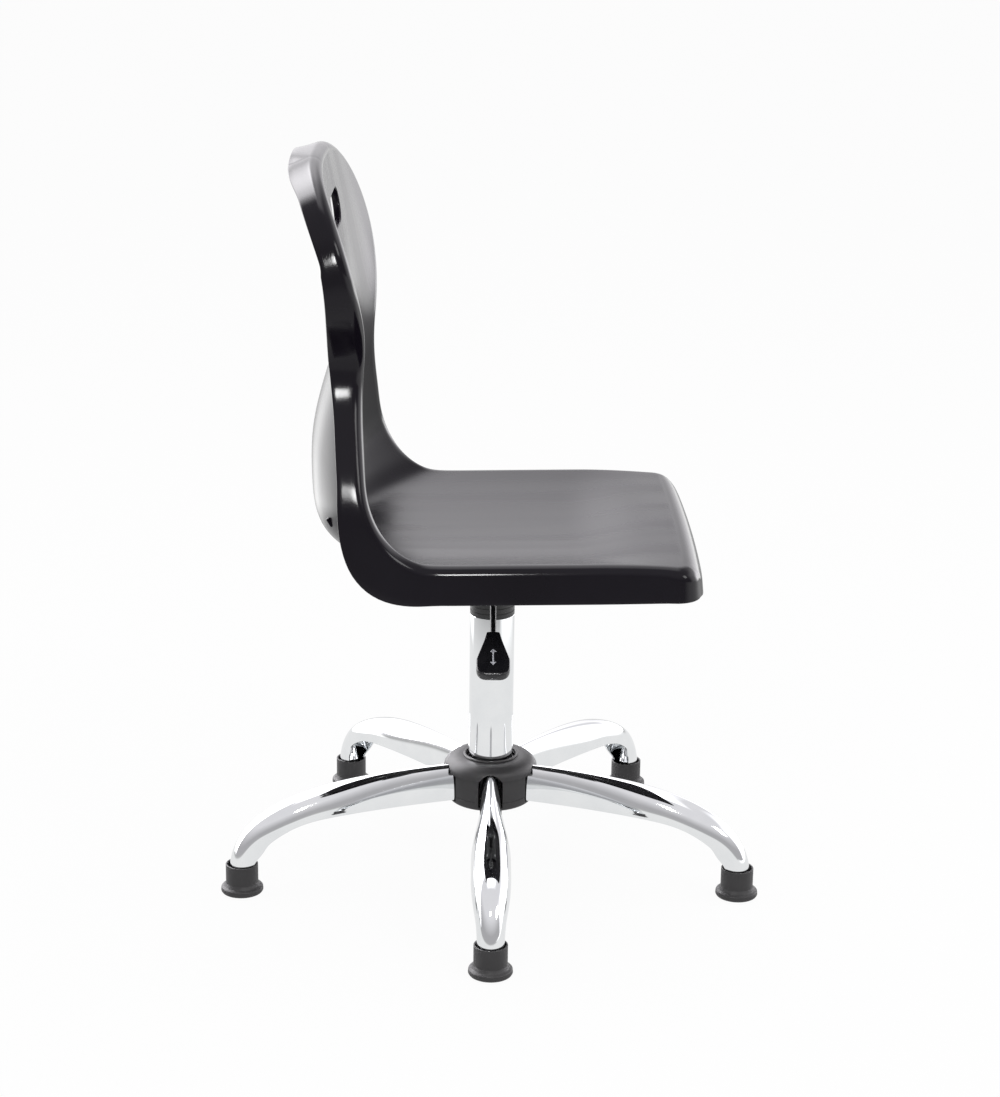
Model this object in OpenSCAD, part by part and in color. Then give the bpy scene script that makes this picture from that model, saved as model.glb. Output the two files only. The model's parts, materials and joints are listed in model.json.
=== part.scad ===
// Swivel chair: moulded one-piece shell on a gas lift column and a five-leg chromed base.
// Millimetres, +Z up. The chair's front is +X and its right-hand side is -Y.
// The origin lies on the floor under the middle of the whole chair.

/* [Base] */
// Distance from the swivel axis to the middle of each glide
foot_circle_r = 291; // [250:1:330]
// Height of a leg's top where it leaves the hub
leg_root_top = 125; // [118:1:130]
// Height of a leg's lower edge where it leaves the hub
leg_root_bottom = 86; // [82:1:92]
// Width of a leg at the hub
leg_root_w = 23; // [18:1:30]
// Width of a leg at its widest
leg_wide_w = 43; // [34:1:50]
// Thickness of the pressed steel of a leg
leg_wall = 2; // [1.5:0.1:2.5]
// Outer radius of the steel hub that the legs are welded to
hub_r = 33; // [31:1:36]

/* [Glides] */
// Outer radius of a glide's cup
cup_r = 18; // [17:0.5:21]
// Height of a glide
cup_h = 34; // [28:1:40]
// Largest radius of a glide's flared foot
flare_r = 23.6; // [22:0.2:28]
// Thickness of a glide's cup wall
cup_wall = 1.8; // [1.5:0.1:2.4]
// Radius of the steel stem in a glide
stem_r = 3.8; // [3:0.1:4.5]

/* [Hub cover] */
// Radius of the hub cover's straight side
cover_r = 48; // [46:0.5:54]
// Radius of the domed cap's brim
brim_r = 53; // [50:0.5:58]
// Height of the cover's lower edge above the floor
cover_bottom = 80; // [76:1:83]
// Height of the joint between the cover's two halves
cover_seam = 90; // [87:1:96]
// Height of the cover's collar around the column
cover_top = 134; // [131:1:140]
// Wall of the hub cover
cover_wall = 2.5; // [1.8:0.1:3]

/* [Column] */
// Outer radius of the gas lift column
column_r = 25; // [24:0.5:28]
// Wall of the column tube
column_wall = 1.5; // [1.2:0.1:2]
// Height of the column tube's top edge
column_top = 301; // [285:1:310]
// Height of the guide bush's visible collar
bush_collar_h = 18; // [12:1:20]
// How far the seat rises
height_travel = 85; // [60:1:100]
// Outer radius of the gas cylinder
cylinder_r = 14; // [13:0.5:15]
// Radius of the piston rod
rod_r = 5; // [4:0.5:6]

/* [Seat mechanism] */
// Length of the steel seat plate, front to back
plate_l = 190; // [160:1:220]
// Width of the seat plate
plate_w = 170; // [150:1:200]
// Thickness of the seat plate
plate_t = 3; // [2:0.5:4]
// Spacing of the seat bolts, front to back
bolt_span_x = 130; // [110:1:150]
// Spacing of the seat bolts, side to side
bolt_span_y = 120; // [100:1:140]
// Radius of a seat bolt's shank
bolt_r = 3; // [2.5:0.5:4]
// Outer radius of the taper socket
socket_r = 20; // [18:0.5:23]

/* [Lever] */
// Distance from the swivel axis to the lever's pivot
lever_arm = 35; // [30:1:40]
// Angle of the lever's outer rod below the horizontal, in degrees
lever_droop = 30; // [20:1:35]
// Radius of the lever's rod
lever_r = 3.3; // [2.5:0.1:4]
// Distance from the pivot to the start of the paddle, along the rod
paddle_start = 101; // [85:1:110]
// Length of the paddle
paddle_l = 62; // [50:1:80]
// Width of the paddle at its outer end
paddle_w = 36; // [28:1:44]
// Width of the paddle where the rod enters it
paddle_neck_w = 14.5; // [12:0.5:18]
// Thickness of the paddle
paddle_t = 12; // [9:0.5:13]

/* [Shell] */
// Height of the seat's side rim above the floor, at its rear
seat_z = 414; // [404:1:440]
// How far the seat's rim rises towards the front
seat_rise = 5; // [0:1:12]
// Front crest of the seat, forward of the swivel axis
seat_front = 194; // [180:1:210]
// Rear of the flat part of the seat rim, behind the swivel axis
seat_rear = 66; // [50:1:76]
// Half width of the seat at its rim
seat_half_w = 190; // [170:1:210]
// Half width of the shell at its waist
waist_half_w = 134; // [110:1:160]
// Half width of the upper back
back_half_w = 193; // [170:1:210]
// Height of the crest of the back above the seat rim
back_h = 394; // [370:1:430]
// Height of the waist above the seat rim
waist_h = 191; // [175:1:205]
// Depth of the dish in the middle of the seat
seat_dish = 18; // [12:1:19]
// Depth of the dish behind the hips
hip_dish = 59; // [35:1:68]
// Depth of the hollow across the upper back
back_dish = 26; // [10:1:32]
// How far the top of the back leans behind its middle
back_lean = 47; // [30:1:60]
// How far the seat's front edge lies below its sides
front_drop = 4; // [1:0.5:8]
// Wall of the moulded shell
shell_wall = 4.5; // [3.5:0.1:5]
// Radius of the rolled rim along the sides and the top
rim_r = 12; // [9:0.5:15]
// Radius of the seat's front edge
front_r = 24; // [18:1:30]
// Depth of the rim's skirt below the crest of the seat's sides
skirt_depth = 41; // [36:1:46]
// Depth of the skirt round the bend between seat and back
bend_skirt = 51; // [44:1:58]
// Depth of the skirt behind the hips
hip_skirt = 30; // [26:1:38]
// Depth of the skirt just above the waist
waist_skirt = 39; // [30:1:44]
// Depth of the skirt beside the shoulders
shoulder_skirt = 28; // [24:1:38]
// Depth of the skirt at the top of the back
top_skirt = 34; // [26:1:40]
// Width of the handle hole
handle_w = 122; // [90:1:140]
// Height of the handle hole
handle_h = 37; // [26:1:42]
// Distance from the crest of the back down to the handle hole's middle
handle_drop = 57; // [48:1:66]
// How far the handle hole's collar stands behind the shell
handle_lip = 4; // [2:0.5:8]
// Wall of the handle hole's collar
handle_lip_t = 3; // [2.4:0.2:4]

/* [Hidden] */

$fn = 48;
legs = 5;
leg_step = 360 / legs;
// Steps of a rounded edge in an outline
arc_steps = 6;
// One overrun for every cut
over = 1;
// Gap between pieces that are seated on each other
seat_gap = 0.2;
// Running clearance of a turning or sliding fit, on the radius
run_gap = 0.05;
// Clearance of a plain hole or slot around what passes through it
hole_gap = 0.3;
// The near leg points to -Y, so the feet spread evenly about the origin when the axis sits here
axis_y = foot_circle_r * (1 - cos(leg_step / 2)) / 2;

// Glide: floor of the cup, boss for the stem, flared foot
cup_floor = 8;
cup_boss_wall = 2.4;
cup_boss_h = 10;
cup_boss_r = stem_r + cup_boss_wall;
cup_boss_top = cup_floor + cup_boss_h;
cup_rim_round = 0.8;
flare_round = 4;
flare_low = 1;
flare_top = 8.5;
flare_fillet = 5;
sole_inset = 4.6;
sole_edge = 1;
sole_rise = 0.4;
sole_r = flare_r - sole_inset;

// Stem: its knob stands above the socket's cone
stem_foot_z = 2.5;
knob_over = 0.9;
knob_r = stem_r + knob_over;
knob_h = 5.5;
knob_round = 1.6;

// Foot socket: flange inside the leg's end, cone above the cup's rim
leg_end_gap = 1.4;
leg_end_half = cup_r - cup_wall - leg_end_gap;
leg_end_z = cup_floor + seat_gap;
socket_flange_r = leg_end_half - leg_wall - hole_gap;
socket_flange_t = 2.5;
cone_base_r = 9.8;
cone_lip = 1;
cone_top_r = stem_r + cone_lip;
cone_base_z = cup_h;
cone_h = 16;
cone_top_z = cup_h + cone_h;
cone_wall = 1.6;
cone_cap_t = 3;

// Leg: its top edge is a superellipse in a plane through the axis, and its sections stand square to it
leg_root_r = hub_r + seat_gap;
leg_end_r = foot_circle_r + leg_end_half;
leg_power = 2.8;
leg_section_power = 2.3;
leg_bend_depth = 24;
leg_bend_angle = 48;
leg_wide_angle = 32;
leg_narrow_angles = [42, 82];
leg_foot_angles = [60, 83];
leg_curl = 40;
leg_stations = 16;
leg_arc_steps = 10;

// Hub: steel tube with a tapered bore for the column's foot, carried through the cover's floor
hub_bottom = cover_bottom + cover_wall + seat_gap;
hub_stand = 2;
hub_top = leg_root_top + hub_stand;
hub_lip = 1;
column_foot_z = hub_bottom + hub_lip;
column_taper = 0.6;
column_bore_r = column_r - column_taper - column_wall;
taper_gap = 0.06;

// Hub cover
collar_w = 6;
collar_r = column_r + collar_w;
collar_round = 1;
brim_z = 118;
brim_t = 2.5;
cover_lap = 4;
cover_foot_round = 4;
cover_notch_gap = 0.3;
cover_notch_spare = 2;
cover_seam_gap = 0.3;

// Column foot: end plate and thrust bearing under the piston rod's shoulder
spigot_step = 1;
spigot_r = rod_r - spigot_step;
end_plate_lift = 2;
end_plate_t = 4;
end_plate_gap = 0.6;
end_plate_top = column_foot_z + end_plate_lift + end_plate_t;
race_t = 2;
race_w = 9;
race_in_r = spigot_r + hole_gap;
race_out_r = rod_r + race_w;
ball_r = 2.2;
balls = 10;
ball_circle_r = (race_in_r + race_out_r) / 2;
cage_t = 1.6;
cage_inset = 0.5;
cage_gap = 0.15;
race_groove = 0.5;
lower_race_z = end_plate_top;
ball_z = lower_race_z + race_t + ball_r - race_groove / 2;
upper_race_z = lower_race_z + race_t + 2 * ball_r - race_groove;
shoulder_z = upper_race_z + race_t;
buffer_h = 8;
buffer_w = 6;
buffer_r = rod_r + buffer_w;
clip_t = 1.5;
clip_w = 3;
clip_groove = 0.6;
clip_play = 0.1;
clip_z = end_plate_top - end_plate_t - clip_t - hole_gap;
clip_r = spigot_r + clip_w;
rod_tail = 2.5;
rod_foot_z = clip_z - rod_tail;

// Gas cylinder, at its lowest
cylinder_wall = 1.4;
cylinder_bore_r = cylinder_r - cylinder_wall;
cylinder_foot_z = shoulder_z + buffer_h + seat_gap;
guide_h = 14;
seal_h = 5;
seal_top = cylinder_foot_z + guide_h + seal_h;
piston_t = 12;
piston_spare = 20;
piston_ring_w = 2;
piston_ring_d = 1;
piston_top = seal_top + height_travel + piston_spare + piston_t;
bush_top = column_top + bush_collar_h;
bush_sleeve_l = 90;
bush_sleeve_r = column_r - column_wall - run_gap;
bush_edge = 1;
bush_groove_shares = [0.28, 0.62];
bush_groove_w = 1.4;
bush_groove_d = 0.7;
flute_r = 1.6;
flute_inset = 2.4;
flute_short = 10;
flutes = 12;
neck_h = 12;
cylinder_neck_z = bush_top + neck_h;
taper_l = 30;
taper_drop = 0.8;
cylinder_top = cylinder_neck_z + taper_l;
cylinder_cap_t = 26;
valve_r = 3.5;
valve_tip_r = 2;
valve_foot = 6;
valve_stand = 5.2;
valve_tip_h = 4;
valve_top = cylinder_top + valve_stand;

// Lever: the eye turns between two lugs, and its inner arm lies over the valve pin
arm_h = 5;
arm_w = 8;
arm_gap = 0.35;
arm_z = valve_top + arm_gap;
arm_reach = 3.5;
arm_lift = 2;
pivot_z = arm_z + arm_h / 2 - arm_lift;
pivot_pin_r = 3;
eye_r = 5.5;
eye_w = 16;
lug_t = 3;
lug_gap = 0.4;
lug_w = 16;
lug_drop = 7;
pin_play = 0.3;
pin_head_t = 2;
pin_head_over = 1.5;
pin_half_l = eye_w / 2 + lug_gap + lug_t + pin_play;
paddle_edge = 1.6;
paddle_wide_shares = [0.62, 0.72];
paddle_end_round = 7;
rod_insert = 40;

// Seat plate: its underside clears the lever's arm
plate_clear = 3;
plate_z = arm_z + arm_h + plate_clear;
plate_top = plate_z + plate_t;
plate_corner = 14;
plate_lip_h = 12;
plate_lip_t = 2.5;
bracket_t = 1.5;
socket_lap = 2;
socket_foot_z = cylinder_neck_z - socket_lap;
chamber_lift = 1.5;

// Bolts, washers and inserts
washer_over = 5;
washer_r = bolt_r + washer_over;
washer_t = 1.6;
head_over = 2.5;
head_r = bolt_r + head_over;
head_h = 4;
recess_share = 0.9;
insert_wall = 1.6;
insert_r = bolt_r + insert_wall;
boss_wall = 4.5;
boss_r = insert_r + boss_wall;
boss_foot_z = plate_top + seat_gap;
insert_inset = 0.4;
insert_cover = 1;
insert_foot_z = boss_foot_z + insert_inset;
insert_top_z = seat_z - seat_dish - shell_wall - insert_cover;
bolt_short = 1;
bolt_tip_z = insert_top_z - bolt_short;

// Shell outline: a front with round corners, a straight seat, an elliptical bend and a waisted back
front_corner = 6;
front_row_w = seat_half_w - front_corner * (1 - cos(45));
front_bulge = 3;
front_run = 90;
front_dish_run = 120;
top_corner = 84;
top_power = 2.6;
roll_power = 4;
side_x = seat_front - front_corner;
bend_rx = 70;
bend_rz = 92;
bend_top = seat_z + bend_rz;
back_top = seat_z + back_h;
shoulder_h = back_top - top_corner;
waist_z = seat_z + waist_h;
hip_h = 38;
hip_z = seat_z + hip_h;
lean_h = 173;
lean_z = back_top - lean_h;
back_bow = 4.5;
hip_x = seat_rear + bend_rx + hip_dish;
spine_back = 54;
spine_bend_x = seat_rear + spine_back;
spine_fall = 27;
spine_bend_z = bend_top - spine_fall;
spine_power = 3.2;
spine_fall_share = 0.9;
top_dish_share = 0.45;
hollow_h = 248;
hollow_end = seat_z + hollow_h;
section_power = 2.4;
skirt_splay = 6;
roll_slopes = [-20, 50];
// Places along the rim where the skirt has its depths, and these depths
skirt_place_shares = [1.95, 2.35, 2.95, 3.15, 3.67, 4.15, 4.5, 4.95];
skirt_depths = [
    skirt_depth, bend_skirt, hip_skirt, hip_skirt, waist_skirt, shoulder_skirt, shoulder_skirt, top_skirt
];
front_rows = 3;
corner_rows = 6;
seat_rows = 8;
bend_rows = 10;
back_rows = 13;
half_cols = 11;
edge_crowd_share = 0.8;
turn_share = 0.01;
roll_steps = 4;
// Short moulded ribs low on both sides of the hip bulge, each at a row and a column of the shell's grid
rib_l = 11;
rib_w = 4;
rib_t = 5;
rib_tilt = 30;
rib_turn = 25;
rib_bend_row = 7;
rib_col = 6;
rib_row = front_rows + seat_rows + rib_bend_row;

function clamp01(t) = min(max(t, 0), 1);
function blend(t) = (1 - cos(180 * clamp01(t))) / 2;
function between(v, ends) = (v - ends[0]) / (ends[1] - ends[0]);
function mix(a, b, t) = a + (b - a) * t;
function unit(v) = v / norm(v);
function flat(lists) = [for (l = lists) for (p = l) p];
// Quarter superellipse: the two coordinates at an angle, both from 0 to 1
function sup_sin(a, power) = pow(max(sin(a), 0), 2 / power);
function sup_cos(a, power) = sign(cos(a)) * pow(abs(cos(a)), 2 / power);
function arc_points(x, y, r, from, to, steps = arc_steps) =
    [for (i = [0 : steps]) let (a = mix(from, to, i / steps)) [x + r * cos(a), y + r * sin(a)]];

// Everything stands on the swivel axis
module at_axis() translate([0, axis_y, 0]) children();
module at_leg(k) at_axis() rotate(-90 + k * leg_step) children();
module at_foot(k) at_leg(k) translate([foot_circle_r, 0, 0]) children();
module disc(r, z0, z1) translate([0, 0, z0]) cylinder(r = r, h = z1 - z0);
module tube(r_out, r_in, z0, z1)
    difference() {
        disc(r_out, z0, z1);
        disc(r_in, z0 - over, z1 + over);
    }
module cone(r0, r1, z0, z1) translate([0, 0, z0]) cylinder(r1 = r0, r2 = r1, h = z1 - z0);

// A closed channel through rings of points. Each ring is flat: its outer arc, then its inner arc
// from the same edge.
module channel(rings) {
    n = len(rings[0]);
    half = n / 2;
    last = len(rings) - 1;
    sides = [
        for (i = [0 : last - 1]) for (j = [0 : n - 1])
            let (
                k = j < half - 1 ? j + 1 : j == half - 1 ? n - 1 : j == half ? 0 : j - 1,
                a = i * n + j,
                b = i * n + k
            )
            each [[a, b, b + n], [a, b + n, a + n]]
    ];
    ends = [
        for (j = [0 : half - 2])
            let (a = j, b = j + 1, c = half + j + 1, d = half + j, e = last * n)
            each [[a, c, b], [a, d, c], [e + a, e + b, e + c], [e + a, e + c, e + d]]
    ];
    polyhedron(points = flat(rings), faces = concat(ends, sides));
}

// Leg: a pressed channel, open below. Its top edge and its sections are functions of one angle.
// Towards the foot the section turns into a round one, with its edges curled in.
function leg_top_at(a) = [
    mix(leg_root_r, leg_end_r, sup_sin(a, leg_power)),
    mix(leg_end_z, leg_root_top, sup_cos(a, leg_power))
];
function leg_up_at(a) =
    let (e = 2 - 2 / leg_power)
    unit([
        pow(max(sin(a), 0), e) / (leg_end_r - leg_root_r),
        pow(max(cos(a), 0), e) / (leg_root_top - leg_end_z)
    ]);
function leg_depth_at(a) =
    mix(leg_root_top - leg_root_bottom, leg_bend_depth, blend(a / leg_bend_angle))
    + (leg_end_half - leg_bend_depth) * blend(between(a, leg_foot_angles));
function leg_half_at(a) =
    mix(leg_root_w / 2, leg_wide_w / 2, blend(a / leg_wide_angle))
    - (leg_wide_w / 2 - leg_end_half) * blend(between(a, leg_narrow_angles));
function leg_arc(a, wall) =
    let (
        top = leg_top_at(a), up = leg_up_at(a), depth = leg_depth_at(a),
        foot = blend(between(a, leg_foot_angles)), power = mix(leg_section_power, 2, foot)
    )
    [
        for (i = [0 : leg_arc_steps])
            let (
                p = (90 + leg_curl * foot) * (2 * i / leg_arc_steps - 1),
                side = sign(p) * sup_sin(abs(p), power) * (leg_half_at(a) - wall),
                h = sup_cos(p, power) * (depth - wall) - depth
            )
            [top[0] + up[0] * h, side, top[1] + up[1] * h]
    ];
function leg_ring(a) = concat(leg_arc(a, 0), leg_arc(a, leg_wall));
module leg(k)
    color("silver") at_leg(k)
        channel([for (i = [0 : leg_stations]) leg_ring(90 * blend(i / leg_stations))]);

module hub_core()
    color("dimgray") at_axis() difference() {
        disc(hub_r, hub_bottom, hub_top);
        disc(column_bore_r, hub_bottom - over, hub_top);
        cone(
            column_r - column_taper + taper_gap, column_r + taper_gap,
            column_foot_z - seat_gap, hub_top - seat_gap
        );
        disc(column_r + taper_gap, hub_top - 2 * seat_gap, hub_top + over);
    }

module foot_socket(k)
    color("silver") at_foot(k) rotate_extrude() polygon([
        [socket_flange_r, leg_end_z],
        [socket_flange_r, leg_end_z + socket_flange_t],
        [cone_base_r + cone_lip, leg_end_z + socket_flange_t],
        [cone_base_r, cone_base_z],
        [cone_top_r, cone_top_z],
        [stem_r + run_gap, cone_top_z],
        [stem_r + run_gap, cone_top_z - cone_cap_t],
        [cone_base_r - cone_wall - cone_lip, cone_base_z],
        [cone_base_r - cone_wall, leg_end_z]
    ]);

// Glide: a bell-shaped cup with a boss for the stem
module glide(k)
    color("#2b2a2c") at_foot(k) rotate_extrude() polygon(concat(
        [[stem_r, stem_foot_z], [0, stem_foot_z], [0, 0], [sole_r - sole_edge, 0], [sole_r, sole_rise]],
        arc_points(flare_r - flare_round, flare_round + flare_low, flare_round, -55, 62),
        arc_points(cup_r + flare_fillet, flare_top + flare_fillet, flare_fillet, 250, 180),
        [
            [cup_r, cup_h - cup_rim_round], [cup_r - cup_rim_round, cup_h],
            [cup_r - cup_wall, cup_h], [cup_r - cup_wall, cup_floor],
            [cup_boss_r, cup_floor], [cup_boss_r, cup_boss_top], [stem_r, cup_boss_top]
        ]
    ));

module glide_stem(k)
    color("silver") at_foot(k) {
        disc(stem_r, stem_foot_z, cone_top_z + seat_gap);
        rotate_extrude() polygon(concat(
            [[0, cone_top_z + seat_gap], [knob_r, cone_top_z + seat_gap]],
            arc_points(knob_r - knob_round, cone_top_z + knob_h - knob_round, knob_round, 0, 90),
            [[0, cone_top_z + knob_h]]
        ));
    }

// Arches over the legs' roots, to cut the cover
module leg_notch(bottom) {
    half = leg_root_w / 2 + cover_notch_gap + cover_notch_spare;
    top = leg_root_top + cover_notch_gap - half;
    for (k = [0 : legs - 1]) rotate(-90 + k * leg_step) translate([hub_r, 0, 0]) {
        translate([0, -half, bottom]) cube([cover_r, 2 * half, top - bottom]);
        translate([0, 0, top]) rotate([0, 90, 0]) cylinder(r = half, h = cover_r);
    }
}

module hub_cover_upper()
    color("#38373a") at_axis() difference() {
        rotate_extrude() polygon(concat(
            [
                [cover_r - cover_wall, cover_seam + cover_seam_gap],
                [cover_r, cover_seam + cover_seam_gap], [cover_r, brim_z]
            ],
            [
                for (i = [0 : arc_steps]) let (a = 90 * i / arc_steps) [
                    mix(collar_r, brim_r, cos(a)),
                    mix(brim_z, cover_top - 2 * collar_round, sin(a)) + brim_t * cos(a) * sin(a)
                ]
            ],
            [
                [collar_r, cover_top - collar_round], [collar_r - collar_round, cover_top],
                [collar_r - cover_wall, cover_top]
            ],
            [
                for (i = [arc_steps : -1 : 0]) let (a = 90 * i / arc_steps) [
                    mix(collar_r - cover_wall, cover_r - cover_wall, cos(a)),
                    mix(brim_z - brim_t, cover_top - 2 * collar_round - cover_wall, sin(a))
                ]
            ]
        ));
        leg_notch(cover_bottom);
    }

module hub_cover_lower()
    color("#38373a") at_axis() difference() {
        rotate_extrude() polygon(concat(
            [[hub_r - cover_lap, cover_bottom]],
            arc_points(cover_r - cover_foot_round, cover_bottom + cover_foot_round, cover_foot_round, -90, 0),
            [
                [cover_r, cover_seam], [cover_r - cover_wall, cover_seam],
                [cover_r - cover_wall, cover_bottom + cover_foot_round],
                [cover_r - cover_foot_round, cover_bottom + cover_wall],
                [hub_r - cover_lap, cover_bottom + cover_wall]
            ]
        ));
        leg_notch(leg_root_bottom - cover_notch_gap - cover_notch_spare);
    }

module column_tube()
    color("gainsboro") at_axis() difference() {
        union() {
            cone(column_r - column_taper, column_r, column_foot_z, hub_top);
            disc(column_r, hub_top, column_top);
        }
        disc(column_bore_r, column_foot_z - over, hub_top);
        disc(column_r - column_wall, hub_top - over, column_top + over);
    }

module column_end_plate()
    color("dimgray") at_axis()
        tube(column_bore_r - run_gap, spigot_r + end_plate_gap, end_plate_top - end_plate_t, end_plate_top);

module race(z)
    color("silver") at_axis() difference() {
        tube(race_out_r, race_in_r, z, z + race_t);
        rotate_extrude() translate([ball_circle_r, ball_z]) circle(r = ball_r + run_gap);
    }
module lower_race() race(lower_race_z);
module upper_race() race(upper_race_z);
module ball_places()
    for (i = [0 : balls - 1]) rotate(i * 360 / balls) translate([ball_circle_r, 0, ball_z]) children();
module bearing_balls() color("silver") at_axis() ball_places() sphere(r = ball_r);
module ball_cage()
    color("goldenrod") at_axis() difference() {
        tube(race_out_r - cage_inset, race_in_r + cage_inset, ball_z - cage_t / 2, ball_z + cage_t / 2);
        ball_places() disc(ball_r + cage_gap, -cage_t, cage_t);
    }
module buffer()
    color("#202020") at_axis()
        tube(buffer_r, rod_r + seat_gap, shoulder_z + seat_gap, shoulder_z + buffer_h);
module retaining_clip()
    color("dimgray") at_axis() tube(clip_r, spigot_r - clip_groove + run_gap, clip_z, clip_z + clip_t);

module guide_bush()
    color("#26262a") at_axis() difference() {
        union() {
            disc(column_r, column_top + seat_gap, bush_top - bush_edge);
            cone(column_r, column_r - bush_edge, bush_top - bush_edge, bush_top);
            disc(bush_sleeve_r, column_top - bush_sleeve_l, column_top + over);
        }
        disc(cylinder_r + run_gap, column_top - bush_sleeve_l - over, bush_top + over);
        for (share = bush_groove_shares) let (z = column_top + bush_collar_h * share)
            tube(column_r + over, column_r - bush_groove_d, z, z + bush_groove_w);
        for (i = [0 : flutes - 1])
            rotate(i * 360 / flutes) translate([bush_sleeve_r - flute_inset, 0, 0])
                disc(flute_r, column_top - bush_sleeve_l - over, column_top - flute_short);
    }

module piston_rod()
    color("silver") at_axis() difference() {
        union() {
            disc(spigot_r, rod_foot_z, piston_top);
            disc(rod_r, shoulder_z, piston_top - piston_t);
        }
        tube(spigot_r + over, spigot_r - clip_groove, clip_z - clip_play, clip_z + clip_t + clip_play);
    }
module piston()
    color("dimgray") at_axis() difference() {
        tube(cylinder_bore_r - run_gap, spigot_r + run_gap, piston_top - piston_t, piston_top);
        tube(
            cylinder_bore_r, cylinder_bore_r - piston_ring_d,
            piston_top - (piston_t + piston_ring_w) / 2, piston_top - (piston_t - piston_ring_w) / 2
        );
    }
module gas_cylinder()
    color("#303032") at_axis() difference() {
        union() {
            disc(cylinder_r, cylinder_foot_z, cylinder_neck_z);
            cone(cylinder_r, cylinder_r - taper_drop, cylinder_neck_z, cylinder_top);
        }
        disc(cylinder_bore_r, cylinder_foot_z - over, cylinder_top - cylinder_cap_t);
        disc(valve_r + run_gap, cylinder_top - cylinder_cap_t - over, cylinder_top + over);
    }
module rod_guide()
    color("dimgray") at_axis()
        tube(cylinder_bore_r - run_gap, rod_r + run_gap, cylinder_foot_z, seal_top - seal_h);
module rod_seal()
    color("#202020") at_axis()
        tube(cylinder_bore_r - run_gap, rod_r + run_gap, seal_top - seal_h, seal_top);
module valve_pin()
    color("silver") at_axis() {
        disc(valve_r, cylinder_top - cylinder_cap_t + valve_foot, valve_top - valve_tip_h);
        disc(valve_tip_r, valve_top - valve_tip_h - over, valve_top);
    }

module taper_socket()
    color("#303032") at_axis() difference() {
        disc(socket_r, socket_foot_z, plate_z);
        disc(cylinder_r + hole_gap, socket_foot_z - over, cylinder_neck_z);
        cone(
            cylinder_r + taper_gap, cylinder_r - taper_drop + taper_gap,
            cylinder_neck_z, cylinder_top
        );
        disc(cylinder_r - taper_drop + taper_gap, cylinder_top - over, plate_z + over);
        translate([-eye_w / 2 - lug_gap, -socket_r - over, cylinder_top + chamber_lift])
            cube([eye_w + 2 * lug_gap, socket_r, plate_z - cylinder_top - chamber_lift + over]);
    }

module bolt_places()
    for (sx = [-1, 1], sy = [-1, 1])
        translate([sx * bolt_span_x / 2, sy * bolt_span_y / 2, 0]) children();
module seat_plate()
    color("#303032") at_axis() difference() {
        union() {
            for (sx = [-1, 1], sy = [-1, 1])
                translate([sx * (plate_l / 2 - plate_corner), sy * (plate_w / 2 - plate_corner), 0])
                    disc(plate_corner, plate_z, plate_top);
            translate([-plate_l / 2, -plate_w / 2 + plate_corner, plate_z])
                cube([plate_l, plate_w - 2 * plate_corner, plate_t]);
            translate([-plate_l / 2 + plate_corner, -plate_w / 2, plate_z])
                cube([plate_l - 2 * plate_corner, plate_w, plate_t]);
            for (x = [-plate_l / 2, plate_l / 2 - plate_lip_t])
                translate([x, -plate_w / 2 + plate_corner, plate_z - plate_lip_h])
                    cube([plate_lip_t, plate_w - 2 * plate_corner, plate_lip_h + plate_t]);
        }
        bolt_places() disc(bolt_r + hole_gap, plate_z - over, plate_top + over);
    }

// Places on the lever's pivot: its axis runs along x
module at_pivot() at_axis() translate([0, -lever_arm, pivot_z]) children();
module rod_x(r, half_l) rotate([0, 90, 0]) disc(r, -half_l, half_l);
module lever_bracket()
    color("#303032") at_pivot() difference() {
        union() {
            for (x = [-eye_w / 2 - lug_gap - lug_t, eye_w / 2 + lug_gap])
                translate([x, -lug_w / 2, -lug_drop]) cube([lug_t, lug_w, plate_z - pivot_z + lug_drop]);
            translate([-eye_w / 2 - lug_gap - lug_t, -lug_w / 2, plate_z - bracket_t - pivot_z])
                cube([eye_w + 2 * (lug_gap + lug_t), lug_w, bracket_t]);
        }
        rod_x(pivot_pin_r + run_gap, eye_w);
    }
module lever_pivot_pin()
    color("silver") at_pivot() {
        rod_x(pivot_pin_r, pin_half_l);
        for (x = [-pin_half_l - pin_head_t / 2, pin_half_l + pin_head_t / 2])
            translate([x, 0, 0]) rod_x(pivot_pin_r + pin_head_over, pin_head_t / 2);
    }
// The outer rod runs towards -Y and down by the droop angle
module lever_rod()
    color("#1c1c1e") at_pivot() difference() {
        union() {
            rod_x(eye_r, eye_w / 2);
            translate([-arm_w / 2, 0, arm_z - pivot_z]) cube([arm_w, lever_arm + arm_reach, arm_h]);
            rotate([90 + lever_droop, 0, 0]) disc(lever_r, 0, paddle_start + rod_insert);
        }
        rod_x(pivot_pin_r + run_gap, eye_w);
    }
// Paddle: a tapering grip with a rounded end, and a bore for the rod
module lever_paddle()
    color("#141416") at_pivot() rotate([90 + lever_droop, 0, 0]) difference() {
        translate([0, paddle_t / 2, paddle_start]) rotate([90, 0, 0])
            linear_extrude(height = paddle_t) polygon([
                [-paddle_neck_w / 2, 0], [paddle_neck_w / 2, 0],
                [paddle_w / 2, paddle_l * paddle_wide_shares[0]], [paddle_w / 2, paddle_l - paddle_edge],
                [paddle_w / 4, paddle_l - paddle_edge / 2], [0, paddle_l],
                [-paddle_w / 4, paddle_l - paddle_edge / 2],
                [-paddle_w / 2 + paddle_edge, paddle_l - paddle_edge],
                [-paddle_w / 2, paddle_l - paddle_end_round],
                [-paddle_w / 2, paddle_l * paddle_wide_shares[1]]
            ]);
        disc(lever_r + run_gap, paddle_start - over, paddle_start + rod_insert + seat_gap);
    }

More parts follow.
